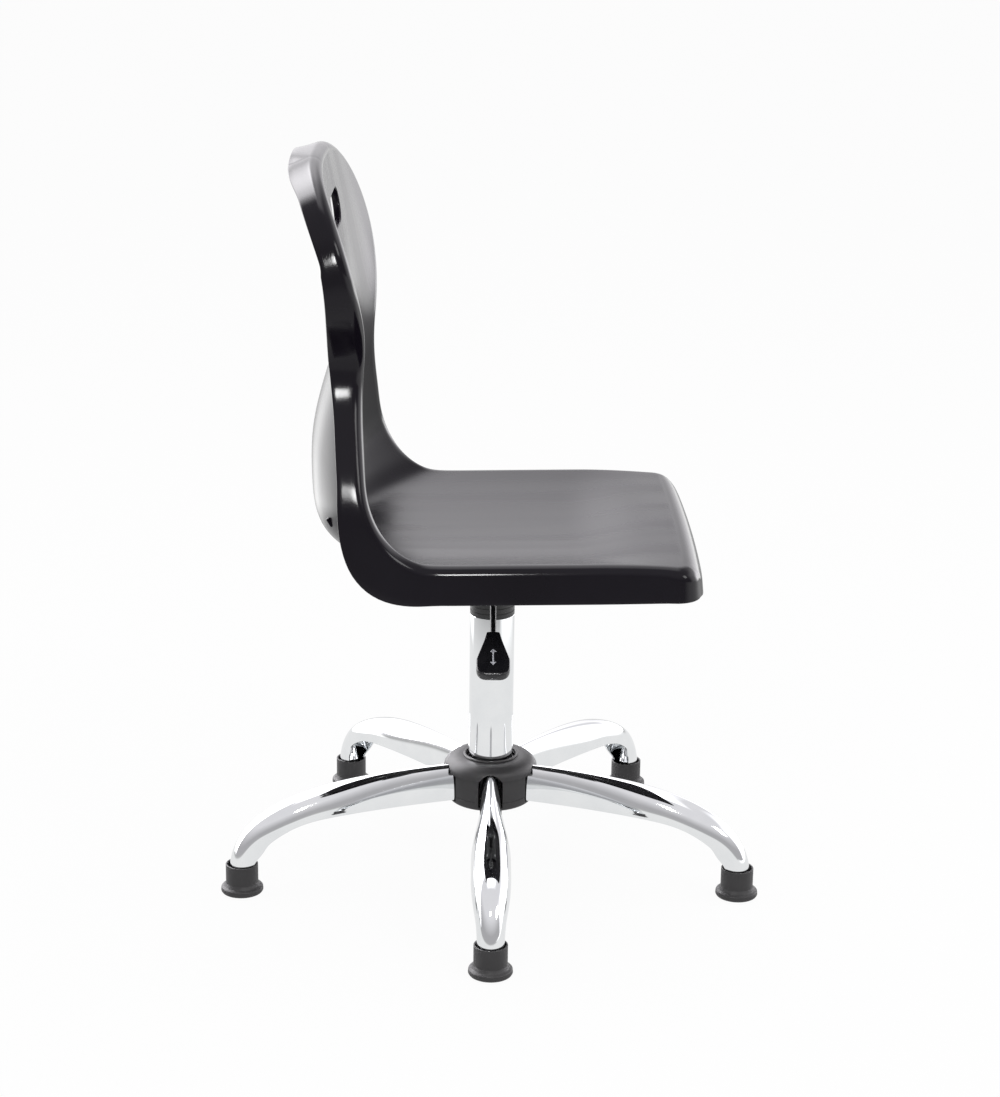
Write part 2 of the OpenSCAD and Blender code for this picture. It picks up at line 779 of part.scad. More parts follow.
module seat_bolts()
    color("silver") at_axis() bolt_places() {
        disc(bolt_r, plate_z - washer_t - head_h / 2, bolt_tip_z);
        difference() {
            disc(head_r, plate_z - washer_t - head_h, plate_z - washer_t);
            disc(bolt_r * recess_share, plate_z - washer_t - head_h - over, plate_z - washer_t - head_h / 2);
        }
    }
module bolt_washers()
    color("silver") at_axis() bolt_places() tube(washer_r, bolt_r + hole_gap, plate_z - washer_t, plate_z);
module threaded_inserts()
    color("goldenrod") at_axis() bolt_places() tube(insert_r, bolt_r + run_gap, insert_foot_z, insert_top_z);

// Seat shell
// The rim's side curve runs through five stretches, each one unit of u:
// front corner, seat side, bend, back side, top corner. Points are [x, z].
function back_x(z) =
    -(seat_rear + bend_rx) - back_bow * sin(180 * clamp01((z - bend_top) / (lean_z - bend_top)))
    - back_lean * pow(clamp01((z - lean_z) / (back_top - lean_z)), 2);
function front_drop_at(x) = front_drop * pow(clamp01((x - seat_front + front_run) / front_run), 2);
function seat_line(x) =
    seat_z + seat_rise * (x + seat_rear) / (seat_front + seat_rear) - front_drop_at(x);
function rim_at(u) =
    u < 2 ? let (x = u < 1 ? mix(seat_front, side_x, u) : mix(side_x, -seat_rear, u - 1))
      [x, seat_line(x)]
    : u < 3 ? [-seat_rear - bend_rx * sin(90 * (u - 2)), bend_top - bend_rz * cos(90 * (u - 2))]
    : let (z = u < 4 ? mix(bend_top, shoulder_h, u - 3) : mix(shoulder_h, back_top, u - 4))
      [back_x(z), z];
// Direction away from the sitter, square to the rim's side curve
function away_at(u) =
    u < 2 ? [0, -1]
    : u < 3 ? let (a = 90 * (u - 2)) [-sin(a), -cos(a)]
    : let (p = rim_at(u), q = rim_at(u + turn_share), d = unit(q - p)) [-d[1], d[0]];
// Middle line of the shell
function back_dish_at(z) =
    mix(hip_dish, back_dish, blend((z - bend_top) / (hollow_end - bend_top)))
    * mix(1, top_dish_share, blend((z - hollow_end) / (back_top - hollow_end)));
function spine_at(u) =
    u < 2 ? let (x = u < 1 ? rim_at(u)[0] : mix(side_x, -spine_bend_x, u - 1))
      [x, seat_line(max(x, -seat_rear)) - seat_dish * blend((seat_front - x) / front_dish_run)]
    : u < 3 ? [
        mix(-spine_bend_x, -hip_x, sup_sin(90 * (u - 2), spine_power)),
        mix(spine_bend_z, seat_z - seat_dish, sup_cos(90 * (u - 2), spine_power))
    ]
    : let (p = rim_at(u), fall = spine_fall * (1 - blend((u - 3) / spine_fall_share)))
      [p[0] - back_dish_at(p[1]), p[1] - fall];
function side_half_w(z) =
    z < waist_z ? mix(seat_half_w, waist_half_w, blend((z - hip_z) / (waist_z - hip_z)))
    : mix(waist_half_w, back_half_w, blend((z - waist_z) / (shoulder_h - waist_z)));
// Rows of the grid: [u of the row's end, half width, share of the end's bow]
shell_rows = concat(
    [
        for (i = [0 : front_rows - 1]) let (a = 45 * (1 - i / front_rows))
            [1 - sin(a), seat_half_w - front_corner * (1 - cos(a)), a / 45]
    ],
    [for (i = [0 : seat_rows - 1]) [1 + i / seat_rows, seat_half_w, 0]],
    [
        for (i = [0 : bend_rows - 1]) let (u = 2 + i / bend_rows)
            [u, side_half_w(rim_at(u)[1]), 0]
    ],
    [
        for (i = [0 : back_rows - 1]) let (u = 3 + i / back_rows)
            [u, side_half_w(rim_at(u)[1]), 0]
    ],
    [
        for (i = [0 : corner_rows]) let (a = 45 * i / corner_rows)
            [4 + sup_sin(a, top_power), back_half_w * sup_cos(a, top_power), -a / 45]
    ]
);
n_rows = len(shell_rows);
n_cols = 2 * half_cols + 1;
// Share of the half width at a column, closer together towards the rim
function col_share(j) = let (t = (j - half_cols) / half_cols) mix(t, sin(90 * t), edge_crowd_share);
// Bow of the front row and of the top row at a share of the width, as shares of the corners' lengths
function front_bow(s) =
    let (t = clamp01((abs(s) * front_row_w - seat_half_w + front_corner) / front_corner))
    sqrt(1 - t * t) - cos(45) + (1 - s * s) * front_bulge / front_corner;
function top_bow(s) =
    let (e = pow(0.5, 1 / top_power)) pow(1 - pow(abs(s) * e, top_power), 1 / top_power) - e;
function shell_u(i, j) =
    let (row = shell_rows[i], s = col_share(j))
    row[0] - row[2] * (row[2] > 0 ? front_bow(s) : top_bow(s));
function shell_point(i, j) =
    let (
        row = shell_rows[i], s = col_share(j), u = shell_u(i, j), rim = rim_at(u),
        dish = (1 - pow(abs(s), section_power)) * (1 - pow(min(row[2], 0), 2)),
        p = rim + (spine_at(u) - rim) * dish
    )
    [p[0], row[1] * s, p[1]];
// Middle of the shell's wall above a boss
function boss_top_at(x) =
    seat_line(x) - seat_dish * (1 - pow(bolt_span_y / 2 / seat_half_w, section_power)) - shell_wall / 2;
// Outer face of the grid, its normals towards the sitter, and the rim's closed loop of grid places
shell_grid = [for (i = [0 : n_rows - 1]) [for (j = [0 : n_cols - 1]) shell_point(i, j)]];
function grid_normal(i, j) =
    let (
        du = shell_grid[min(i + 1, n_rows - 1)][j] - shell_grid[max(i - 1, 0)][j],
        dv = shell_grid[i][min(j + 1, n_cols - 1)] - shell_grid[i][max(j - 1, 0)]
    )
    unit(cross(dv, du));
loop_places = concat(
    [for (j = [0 : n_cols - 1]) [0, j]],
    [for (i = [1 : n_rows - 1]) [i, n_cols - 1]],
    [for (j = [n_cols - 2 : -1 : 0]) [n_rows - 1, j]],
    [for (i = [n_rows - 2 : -1 : 1]) [i, 0]]
);
n_loop = len(loop_places);
function inside_place(p) = [min(max(p[0], 1), n_rows - 2), min(max(p[1], 1), n_cols - 2)];
function grid_at(p) = shell_grid[p[0]][p[1]];
// Depth of the skirt below the crest
function skirt_at(u, k = 1) =
    k == len(skirt_depths) ? skirt_depths[0]
    : (skirt_depths[k] - skirt_depths[k - 1])
      * blend(between(u, [skirt_place_shares[k - 1], skirt_place_shares[k]]))
      + skirt_at(u, k + 1);
// Frame at a place on the rim: [point, away, outward, starting slope, roll radius, skirt length]
function rim_frame(m) =
    let (
        here = loop_places[m], p = grid_at(here),
        next = grid_at(loop_places[(m + 1) % n_loop]),
        last = grid_at(loop_places[(m + n_loop - 1) % n_loop]),
        u = shell_u(here[0], here[1]), w = away_at(u), away = [w[0], 0, w[1]],
        outward = unit(cross(away, unit(next - p) + unit(p - last))),
        rise = p - grid_at(inside_place(here)),
        slope = min(max(atan2(-(rise * away), rise * outward), roll_slopes[0]), roll_slopes[1]),
        forward = max(outward[0], 0),
        r = 1 / pow(
            pow(forward / front_r, roll_power) + pow(sqrt(1 - forward * forward) / rim_r, roll_power),
            1 / roll_power
        ),
        depth = skirt_at(u) - front_drop_at(p[0])
    )
    [p, away, outward, slope, r, depth - r];
rim_frames = [for (m = [0 : n_loop - 1]) rim_frame(m)];
function roll_angle(frame, k) = mix(-frame[3], 90 - skirt_splay, k / roll_steps);
function roll_point(frame, k, wall) =
    let (
        away = frame[1], outward = frame[2], s = frame[3], r = frame[4],
        centre = frame[0] + r * (away * cos(s) + outward * sin(s)),
        a = roll_angle(frame, min(k, roll_steps)),
        skirt = k > roll_steps ? frame[5] : 0
    )
    centre + (r - wall) * (outward * sin(a) - away * cos(a))
    + skirt * (away * cos(skirt_splay) + outward * sin(skirt_splay));
n_rings = roll_steps + 1;
grid_size = n_rows * n_cols;
shell_points = concat(
    flat(shell_grid),
    [
        for (i = [0 : n_rows - 1]) for (j = [0 : n_cols - 1])
            shell_grid[i][j] - shell_wall * grid_normal(i, j)
    ],
    [for (k = [1 : n_rings]) for (f = rim_frames) roll_point(f, k, 0)],
    [for (k = [1 : n_rings]) for (f = rim_frames) roll_point(f, k, shell_wall)]
);
function ring_index(side, k, m) =
    k == 0 ? side * grid_size + loop_places[m % n_loop][0] * n_cols + loop_places[m % n_loop][1]
    : (2 * grid_size + side * n_rings * n_loop) + (k - 1) * n_loop + m % n_loop;
function quad(a, b, c, d, turned) = turned ? [[a, c, b], [a, d, c]] : [[a, b, c], [a, c, d]];
shell_faces = flat(concat(
    [
        for (side = [0, 1]) for (i = [0 : n_rows - 2]) for (j = [0 : n_cols - 2])
            let (a = side * grid_size + i * n_cols + j)
            quad(a, a + 1, a + 1 + n_cols, a + n_cols, side == 0)
    ],
    [
        for (side = [0, 1]) for (k = [0 : n_rings - 1]) for (m = [0 : n_loop - 1])
            quad(
                ring_index(side, k, m), ring_index(side, k + 1, m),
                ring_index(side, k + 1, m + 1), ring_index(side, k, m + 1), side == 0
            )
    ],
    [
        for (m = [0 : n_loop - 1])
            quad(
                ring_index(0, n_rings, m), ring_index(1, n_rings, m),
                ring_index(1, n_rings, m + 1), ring_index(0, n_rings, m + 1), true
            )
    ]
));
handle_z = back_top - handle_drop;
handle_x = back_x(handle_z);
// Stadium along X through the back, the hole's outline grown by a rim
module handle_bar(rim) {
    r = handle_h / 2;
    depth = 2 * (back_dish + back_lean);
    translate([handle_x - depth / 2, 0, handle_z]) rotate([0, 90, 0]) {
        for (s = [-1, 1]) translate([0, s * (handle_w / 2 - r), 0]) cylinder(r = r + rim, h = depth);
        translate([-r - rim, -(handle_w / 2 - r), 0]) cube([2 * (r + rim), handle_w - 2 * r, depth]);
    }
}
// Sitter's face at the middle of the back, and its lean across the handle hole
face_line = [
    for (i = [front_rows + seat_rows + bend_rows : n_rows - 1])
        let (p = shell_grid[i][half_cols]) [p[2], p[0]]
];
face_low = lookup(handle_z - handle_h / 2, face_line);
face_high = lookup(handle_z + handle_h / 2, face_line);
face_lean = atan((face_low - face_high) / handle_h);
module handle_collar() {
    depth = shell_wall / 2 + handle_lip;
    intersection() {
        handle_bar(handle_lip_t);
        translate([(face_low + face_high - shell_wall) / 2, 0, handle_z]) rotate([0, -face_lean, 0])
            translate([-depth, -handle_w, -handle_h]) cube([depth, 2 * handle_w, 2 * handle_h]);
    }
}
module seat_shell()
    color("#37353c") at_axis() difference() {
        union() {
            polyhedron(points = shell_points, faces = shell_faces);
            for (sx = [-1, 1], sy = [-1, 1]) let (x = sx * bolt_span_x / 2)
                translate([x, sy * bolt_span_y / 2, 0]) disc(boss_r, boss_foot_z, boss_top_at(x));
            for (side = [-1, 1]) let (col = half_cols + side * (half_cols - rib_col))
                translate(shell_grid[rib_row][col] - shell_wall * grid_normal(rib_row, col))
                    rotate([0, -rib_tilt, -side * rib_turn])
                        translate([-rib_t / 2, -rib_w / 2, -rib_l / 2]) cube([rib_t, rib_w, rib_l]);
            handle_collar();
        }
        handle_bar(0);
        bolt_places() disc(insert_r + run_gap / 2, boss_foot_z - over, insert_top_z + seat_gap);
    }

hub_core();
leg(0);  // leg_1
leg(1);  // leg_2
leg(2);  // leg_3
leg(3);  // leg_4
leg(4);  // leg_5
foot_socket(0);  // foot_socket_1
foot_socket(1);  // foot_socket_2
foot_socket(2);  // foot_socket_3
foot_socket(3);  // foot_socket_4
foot_socket(4);  // foot_socket_5
glide(0);  // glide_1
glide(1);  // glide_2
glide(2);  // glide_3
glide(3);  // glide_4
glide(4);  // glide_5
glide_stem(0);  // glide_stem_1
glide_stem(1);  // glide_stem_2
glide_stem(2);  // glide_stem_3
glide_stem(3);  // glide_stem_4
glide_stem(4);  // glide_stem_5
hub_cover_upper();
hub_cover_lower();
column_tube();
column_end_plate();
guide_bush();
lower_race();
ball_cage();
bearing_balls();
upper_race();
buffer();
retaining_clip();
piston_rod();
piston();
gas_cylinder();
rod_guide();
rod_seal();
valve_pin();
taper_socket();
seat_plate();
lever_bracket();
lever_pivot_pin();
lever_rod();
lever_paddle();
seat_bolts();
bolt_washers();
threaded_inserts();
seat_shell();
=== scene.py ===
"""Looks of the swivel chair: the shell, base, column and lever, their finishes, the light and the camera."""

import json
import math

import bmesh
import bpy
import numpy as np
from mathutils import Matrix, Vector


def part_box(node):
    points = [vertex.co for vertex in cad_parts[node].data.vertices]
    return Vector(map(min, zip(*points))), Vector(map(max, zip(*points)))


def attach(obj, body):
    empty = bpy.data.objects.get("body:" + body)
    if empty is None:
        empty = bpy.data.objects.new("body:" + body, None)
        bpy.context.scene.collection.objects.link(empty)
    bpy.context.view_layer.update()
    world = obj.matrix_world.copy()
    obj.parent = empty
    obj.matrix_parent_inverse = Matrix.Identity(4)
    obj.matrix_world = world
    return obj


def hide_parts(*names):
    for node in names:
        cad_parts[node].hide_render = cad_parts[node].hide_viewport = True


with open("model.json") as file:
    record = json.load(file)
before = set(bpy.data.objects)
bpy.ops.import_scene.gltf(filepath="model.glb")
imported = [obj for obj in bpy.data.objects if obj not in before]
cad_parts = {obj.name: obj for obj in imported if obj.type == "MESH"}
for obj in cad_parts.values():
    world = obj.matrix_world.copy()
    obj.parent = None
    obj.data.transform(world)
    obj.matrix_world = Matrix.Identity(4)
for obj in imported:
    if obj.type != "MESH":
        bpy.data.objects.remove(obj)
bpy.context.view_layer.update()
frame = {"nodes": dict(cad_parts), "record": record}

MM = 0.001
body_of_node = {n: b for b, names in frame["record"]["behaviour"]["bodies"].items() for n in names}

# The part's own sizes, in millimetres, repeated from its source
foot_circle_r = 291
leg_root_top = 125
leg_root_bottom = 86
leg_root_w = 23
leg_wide_w = 43
leg_wall = 2
hub_r = 33
cup_r = 18
cup_h = 34
cup_wall = 1.8
column_r = 25
column_top = 301
lever_arm = 35
lever_droop = 30
paddle_start = 101
paddle_l = 62
paddle_w = 36
paddle_neck_w = 14.5
paddle_t = 12
seat_z = 414
seat_rise = 5
seat_front = 194
seat_rear = 66
seat_half_w = 190
waist_half_w = 134
back_half_w = 193
back_h = 394
waist_h = 191
seat_dish = 18
hip_dish = 59
back_dish = 26
back_lean = 47
front_drop = 4
shell_wall = 4.5
rim_r = 12
front_r = 24
handle_w = 122
handle_h = 37
handle_drop = 57
leg_step = 2 * math.pi / 5
droop = math.radians(lever_droop)
axis_y = foot_circle_r * (1 - math.cos(leg_step / 2)) / 2


# Finishes
class Wire:
    """An output of a shader node. Arithmetic on it adds Math nodes."""

    def __init__(self, finish, socket):
        self.finish = finish
        self.socket = socket

    def maths(self, operation, *values):
        return self.finish.node("ShaderNodeMath", {"operation": operation}, dict(enumerate(values)))

    def __add__(self, other):
        return self.maths("ADD", self, other)

    __radd__ = __add__

    def __sub__(self, other):
        return self.maths("SUBTRACT", self, other)

    def __rsub__(self, other):
        return self.maths("SUBTRACT", other, self)

    def __mul__(self, other):
        return self.maths("MULTIPLY", self, other)

    __rmul__ = __mul__

    def __truediv__(self, other):
        return self.maths("DIVIDE", self, other)

    def __abs__(self):
        return self.maths("ABSOLUTE", self)

    def below(self, limit):
        return self.maths("LESS_THAN", self, limit)

    def above(self, limit):
        return self.maths("GREATER_THAN", self, limit)

    def ramp(self, low, high, to_low=0.0, to_high=1.0):
        """Straight ramp from to_low at low to to_high at high, held outside."""
        sockets = {0: self, 1: low, 2: high, 3: to_low, 4: to_high}
        return self.finish.node("ShaderNodeMapRange", {"clamp": True}, sockets)


class Finish:
    """A procedural material, or the world, and the nodes it is made of."""

    def __init__(self, name, tree=None):
        if tree is None:
            self.material = bpy.data.materials.new(name)
            self.material.use_nodes = True
            tree = self.material.node_tree
        self.tree = tree
        tree.nodes.clear()

    def node(self, kind, settings=None, sockets=None, out=0):
        """Adds a node: its settings first, then values and links of its sockets. Gives one output."""
        made = self.tree.nodes.new(kind)
        for name, value in (settings or {}).items():
            setattr(made, name, value)
        for name, value in (sockets or {}).items():
            if isinstance(value, Wire):
                self.tree.links.new(value.socket, made.inputs[name])
            else:
                made.inputs[name].default_value = value
        return Wire(self, made.outputs[out]) if len(made.outputs) else made

    def place(self):
        """Object coordinates."""
        return self.node("ShaderNodeTexCoord", out="Object")

    def axes(self, place):
        """The x, y and z of a place."""
        made = self.tree.nodes.new("ShaderNodeSeparateXYZ")
        self.tree.links.new(place.socket, made.inputs[0])
        return [Wire(self, o) for o in made.outputs]

    def noise(self, place, scale, detail, roughness):
        values = {"Vector": place, "Scale": scale, "Detail": detail, "Roughness": roughness}
        return self.node("ShaderNodeTexNoise", None, values)

    def stretched(self, place, factors):
        """A place with each of its axes times a factor of its own."""
        return self.node("ShaderNodeVectorMath", {"operation": "MULTIPLY"}, {0: place, 1: factors})

    def mixed(self, factor, first, second):
        """Colour between two colours."""
        sockets = {0: factor, 6: first, 7: second}
        return self.node("ShaderNodeMix", {"data_type": "RGBA"}, sockets, out=2)

    def bump(self, height, strength, distance):
        sockets = {"Height": height, "Strength": strength, "Distance": distance}
        return self.node("ShaderNodeBump", None, sockets)

    def ray(self, kind):
        """1 for rays of a kind, Camera, Glossy or Transmission, and 0 for all others."""
        return self.node("ShaderNodeLightPath", out=f"Is {kind} Ray")

    def surface(self, sockets):
        """The finished material: a Principled shader with these sockets."""
        shader = self.node("ShaderNodeBsdfPrincipled", None, sockets)
        self.node("ShaderNodeOutputMaterial", None, {"Surface": shader})
        return self.material


def shade(r, g, b):
    return (r, g, b, 1.0)


def gloss_plastic():
    """Charcoal moulded plastic, polished on the rim and its skirt and satin on the faces, where soft streaks
    run front to back. Its low index keeps faces that are seen square on near black."""
    rim_rough, index = 0.12, 1.29
    f = Finish("shell_gloss_plastic")
    p = f.place()
    streaks = f.noise(f.stretched(p, (3.0, 30.0, 6.0)), 1.0, 0.0, 0.5)
    patches = f.noise(p, 6.0, 3.0, 0.55)
    grain = f.noise(p, 1400.0, 2.0, 0.5)
    rim = f.axes(f.node("ShaderNodeUVMap", {"uv_map": "zone"}))[0]
    colour = f.mixed(patches.ramp(0.35, 0.65), shade(0.0045, 0.0034, 0.006), shade(0.0075, 0.006, 0.0098))
    satin = streaks.ramp(0.3, 0.7, 0.2, 0.3) + patches.ramp(0.3, 0.7, -0.01, 0.02)
    rough = satin + rim * (rim_rough - satin)
    relief = f.bump(grain, 0.05, 0.0005)
    return f.surface({"Base Color": colour, "Roughness": rough, "IOR": index, "Normal": relief})


def chromed_steel():
    """Bright chrome: a cool mirror with faint polishing haze and a trace of waviness from the press."""
    f = Finish("chromed_steel")
    p = f.place()
    haze = f.noise(p, 22.0, 5.0, 0.6)
    scuffs = f.noise(f.stretched(p, (900.0, 900.0, 60.0)), 1.0, 2.0, 0.5)
    colour = f.mixed(haze.ramp(0.35, 0.7), shade(0.80, 0.815, 0.825), shade(0.86, 0.87, 0.875))
    rough = haze.ramp(0.4, 0.75, 0.035, 0.085) + scuffs.ramp(0.6, 0.8, 0.0, 0.02)
    relief = f.bump(f.noise(p, 9.0, 1.0, 0.4), 0.06, 0.004)
    return f.surface({"Base Color": colour, "Metallic": 1.0, "Roughness": rough, "Normal": relief})


def moulded(name, dark, light, gloss, grain_scale, depth):
    """Matt moulded plastic: a grained skin, slightly uneven colour and gloss."""
    f = Finish(name)
    p = f.place()
    patches = f.noise(p, 18.0, 4.0, 0.6)
    cells = {"Vector": p, "Scale": grain_scale, "Smoothness": 0.6}
    grain = f.node("ShaderNodeTexVoronoi", {"feature": "SMOOTH_F1"}, cells)
    fine = f.noise(p, grain_scale * 2.5, 2.0, 0.5)
    colour = f.mixed(patches.ramp(0.35, 0.68), shade(*dark), shade(*light))
    rough = patches.ramp(0.3, 0.7, gloss - 0.04, gloss + 0.05)
    relief = f.bump(grain * 0.7 + fine * 0.3, 0.16, depth)
    return f.surface({"Base Color": colour, "Roughness": rough, "Normal": relief})


def painted_steel():
    """Black powder coat: fine orange-peel skin."""
    f = Finish("black_powder_coat")
    p = f.place()
    peel = f.noise(p, 700.0, 2.0, 0.5)
    patches = f.noise(p, 25.0, 3.0, 0.5)
    colour = f.mixed(patches.ramp(0.35, 0.65), shade(0.012, 0.012, 0.013), shade(0.02, 0.02, 0.021))
    return f.surface({
        "Base Color": colour, "Roughness": patches.ramp(0.3, 0.7, 0.33, 0.42),
        "Normal": f.bump(peel, 0.15, 0.0004),
    })


def turned_metal(name, dark, light, gloss):
    """Bare metal with fine turning marks round the upright axis."""
    f = Finish(name)
    p = f.place()
    marks = f.noise(f.stretched(p, (40.0, 40.0, 2600.0)), 1.0, 2.0, 0.5)
    patches = f.noise(p, 45.0, 4.0, 0.6)
    colour = f.mixed(patches.ramp(0.35, 0.65), shade(*dark), shade(*light))
    rough = marks.ramp(0.3, 0.7, gloss - 0.05, gloss + 0.07)
    return f.surface({
        "Base Color": colour, "Metallic": 1.0, "Roughness": rough, "Normal": f.bump(marks, 0.06, 0.0003),
    })


def soft_rubber():
    """Dull black rubber."""
    f = Finish("black_rubber")
    p = f.place()
    bloom = f.noise(p, 60.0, 4.0, 0.6)
    colour = f.mixed(bloom.ramp(0.4, 0.7), shade(0.012, 0.012, 0.012), shade(0.022, 0.021, 0.02))
    return f.surface({"Base Color": colour, "Roughness": bloom.ramp(0.3, 0.7, 0.6, 0.72)})


def paddle_plastic():
    """Glossy black plastic with a plain pale double arrow, up and down, on the paddle's upper face."""
    f = Finish("paddle_gloss_plastic")
    p = f.place()
    x, y, z = f.axes(p)
    (_, rod_y, rod_z), (_, up_y, up_z) = lever_ways()
    _, pivot_y, pivot_z = pivot_place() * MM
    along = (y * rod_y + z * rod_z) - (pivot_y * rod_y + pivot_z * rod_z + paddle_start * MM)
    height = (y * up_y + z * up_z) - (pivot_y * up_y + pivot_z * up_z)
    arrow_middle, arrow_half, head_l = 0.037, 0.0115, 0.0047
    shaft_half_w, shaft_half, head_slope = 0.0009, 0.0075, 0.75
    reach = abs(along - arrow_middle)
    shaft = abs(x).below(shaft_half_w) * reach.below(shaft_half)
    heads = abs(x).below((arrow_half - reach) * head_slope)
    heads = heads * reach.above(arrow_half - head_l) * reach.below(arrow_half)
    upper_face = height.above(paddle_t * MM / 2 - 0.002)
    arrow = (shaft + heads).ramp(0.0, 1.0) * upper_face
    patches = f.noise(p, 40.0, 3.0, 0.5)
    plain = f.mixed(patches.ramp(0.35, 0.65), shade(0.009, 0.009, 0.011), shade(0.014, 0.014, 0.016))
    colour = f.mixed(arrow, plain, shade(0.55, 0.56, 0.6))
    rough = patches.ramp(0.3, 0.7, 0.24, 0.32) + arrow * 0.2
    grain = f.noise(p, 1600.0, 2.0, 0.5)
    return f.surface({"Base Color": colour, "Roughness": rough, "Normal": f.bump(grain, 0.06, 0.0004)})


# Making pieces
def blend(t):
    """Half cosine from 0 to 1, held outside."""
    return (1 - np.cos(np.pi * np.clip(t, 0, 1))) / 2


def mix(a, b, t):
    return a + (b - a) * t


def dot(a, b):
    return np.sum(a * b, axis=-1, keepdims=True)


def unit(v):
    return v / np.sqrt(dot(v, v))


def signed(v, power):
    """v to the power of 2 / power with its sign kept, which turns a circle into a superellipse."""
    return np.sign(v) * np.abs(v) ** (2 / power)


def sup_sin(a, power):
    """A superellipse's height at an angle, never under 0."""
    return np.maximum(np.sin(a), 0) ** (2 / power)


def sup_cos(a, power):
    """A superellipse's width at an angle."""
    return signed(np.cos(a), power)


def grid_faces(rows, cols, close_rows=False, close_cols=False):
    """Four-sided faces between neighbours of a grid numbered row by row."""
    i = np.arange(rows if close_rows else rows - 1)[:, None]
    j = np.arange(cols if close_cols else cols - 1)[None, :]
    k, m = (i + 1) % rows, (j + 1) % cols
    corners = [i * cols + j, i * cols + m, k * cols + m, k * cols + j]
    return np.stack([np.broadcast_to(c, (len(i), j.shape[1])) for c in corners], -1).reshape(-1, 4)


def placed(name, data):
    """A new object at the origin, in the scene."""
    made = bpy.data.objects.new(name, data)
    bpy.context.scene.collection.objects.link(made)
    return made


def make_piece(name, points, faces, body, slot, replaced=(), sharp=None, zone=None):
    """Puts points in millimetres and faces into a mesh whose faces point outwards, in the finish of its
    slot. A zone, a number per point, goes into the mesh's own map for its finish."""
    points = np.asarray(points, float).reshape(-1, 3) * MM
    faces = np.asarray(faces)
    mesh = bpy.data.meshes.new(name)
    mesh.from_pydata(points.tolist(), [], [list(dict.fromkeys(f)) for f in faces.tolist()])
    if zone is not None:
        corner = np.zeros(len(mesh.loops), int)
        mesh.loops.foreach_get("vertex_index", corner)
        chart = mesh.uv_layers.new(name="zone")
        chart.data.foreach_set("uv", np.repeat(zone[corner], 2))
    tidy_mesh(mesh)
    if sharp is not None:
        mesh.set_sharp_from_angle(angle=math.radians(sharp))
    mesh.materials.append(finishes[slot])
    piece = placed(name, mesh)
    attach(piece, body)
    if replaced:
        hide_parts(*replaced)


def tidy_mesh(mesh):
    """Merges points that coincide, drops what that leaves empty, and shades the faces smoothly."""
    work = bmesh.new()
    work.from_mesh(mesh)
    bmesh.ops.remove_doubles(work, verts=work.verts, dist=1e-6)
    bmesh.ops.dissolve_degenerate(work, edges=work.edges, dist=1e-7)
    bmesh.ops.recalc_face_normals(work, faces=work.faces)
    if work.calc_volume(signed=True) < 0:
        bmesh.ops.reverse_faces(work, faces=work.faces)
    work.to_mesh(mesh)
    work.free()
    mesh.shade_smooth()


def rounded(corners, radii, steps=6):
    """A closed outline of [radius, height] with its corners turned into arcs of the given radii:
    each arc touches both sides of its corner."""
    p = np.asarray(corners, float)
    back, ahead = unit(np.roll(p, 1, 0) - p), unit(np.roll(p, -1, 0) - p)
    half = np.arccos(np.clip(dot(back, ahead), -1, 1)) / 2
    r = np.asarray(radii, float)[:, None]
    reach = r / np.tan(half)
    start, end = p + back * reach, p + ahead * reach
    centre = p + unit(back + ahead) * r / np.sin(half)
    t = np.linspace(0, 1, steps)[None, :, None]
    u, v = (start - centre)[:, None], (end - centre)[:, None]
    turn = np.pi - 2 * half[:, None]
    arc = (np.sin((1 - t) * turn) * u + np.sin(t * turn) * v) / np.maximum(np.sin(turn), 1e-9)
    return (centre[:, None] + arc).reshape(-1, 2)


def turned(outline, segments):
    """Points and faces of a closed outline of [radius, height] carried round the upright axis."""
    a = np.arange(segments) * 2 * np.pi / segments
    r, z = outline[:, 0], outline[:, 1]
    points = np.stack([
        np.cos(a)[:, None] * r, np.sin(a)[:, None] * r, np.broadcast_to(z, (segments, len(z)))
    ], -1)
    return points.reshape(-1, 3), grid_faces(segments, len(r), True, True)


def spun(points, angle, x=0.0):
    """Points moved by x, turned by an angle and set on the swivel axis."""
    c, s = math.cos(angle), math.sin(angle)
    p = points + [x, 0, 0]
    return np.stack([c * p[:, 0] - s * p[:, 1], s * p[:, 0] + c * p[:, 1] + axis_y, p[:, 2]], -1)


def leg_angle(k):
    """The first leg points at the camera's side."""
    return -math.pi / 2 + k * leg_step


# Seat shell. A place u along its rim counts stretches: 0 front edge, 1 seat, 2 bend, 3 back, 4 top corner
# and 5 crest. A share s of the half width runs from -1 to 1 across it.
front_corner = 6
front_bulge = 3
front_run = 90
front_dish_run = 120
top_corner = 84
top_power = 2.6
roll_power = 4
side_x = seat_front - front_corner
bend_rx = 70
bend_rz = 92
bend_top = seat_z + bend_rz
back_top = seat_z + back_h
shoulder_h = back_top - top_corner
waist_z = seat_z + waist_h
hip_z = seat_z + 38
lean_z = back_top - 173
back_bow = 4.5
hip_x = seat_rear + bend_rx + hip_dish
spine_bend_x = seat_rear + 54
spine_fall = 27
spine_bend_z = bend_top - spine_fall
spine_power = 3.2
spine_fall_share = 0.9
top_dish_share = 0.45
handle_middle = back_top - handle_drop
handle_r = handle_h / 2
handle_flat = handle_w / 2 - handle_r
handle_edge_r = 1.9
handle_lip = 4
handle_lip_t = 3
lip_r = 1.3
boss_x = 65
boss_y = 60
boss_r = 9.1
boss_root_r = 9.6
boss_bore_r = 4.8
rib_half = (2.5, 2, 5.5)
rib_power = 5
rib_tilt = 30
rib_turn = 25
rib_u = 2.7
rib_share = 0.615
hollow_end = seat_z + 248
section_power = 2.4
skirt_edge_r = 1.3
skirt_splay = math.radians(6)
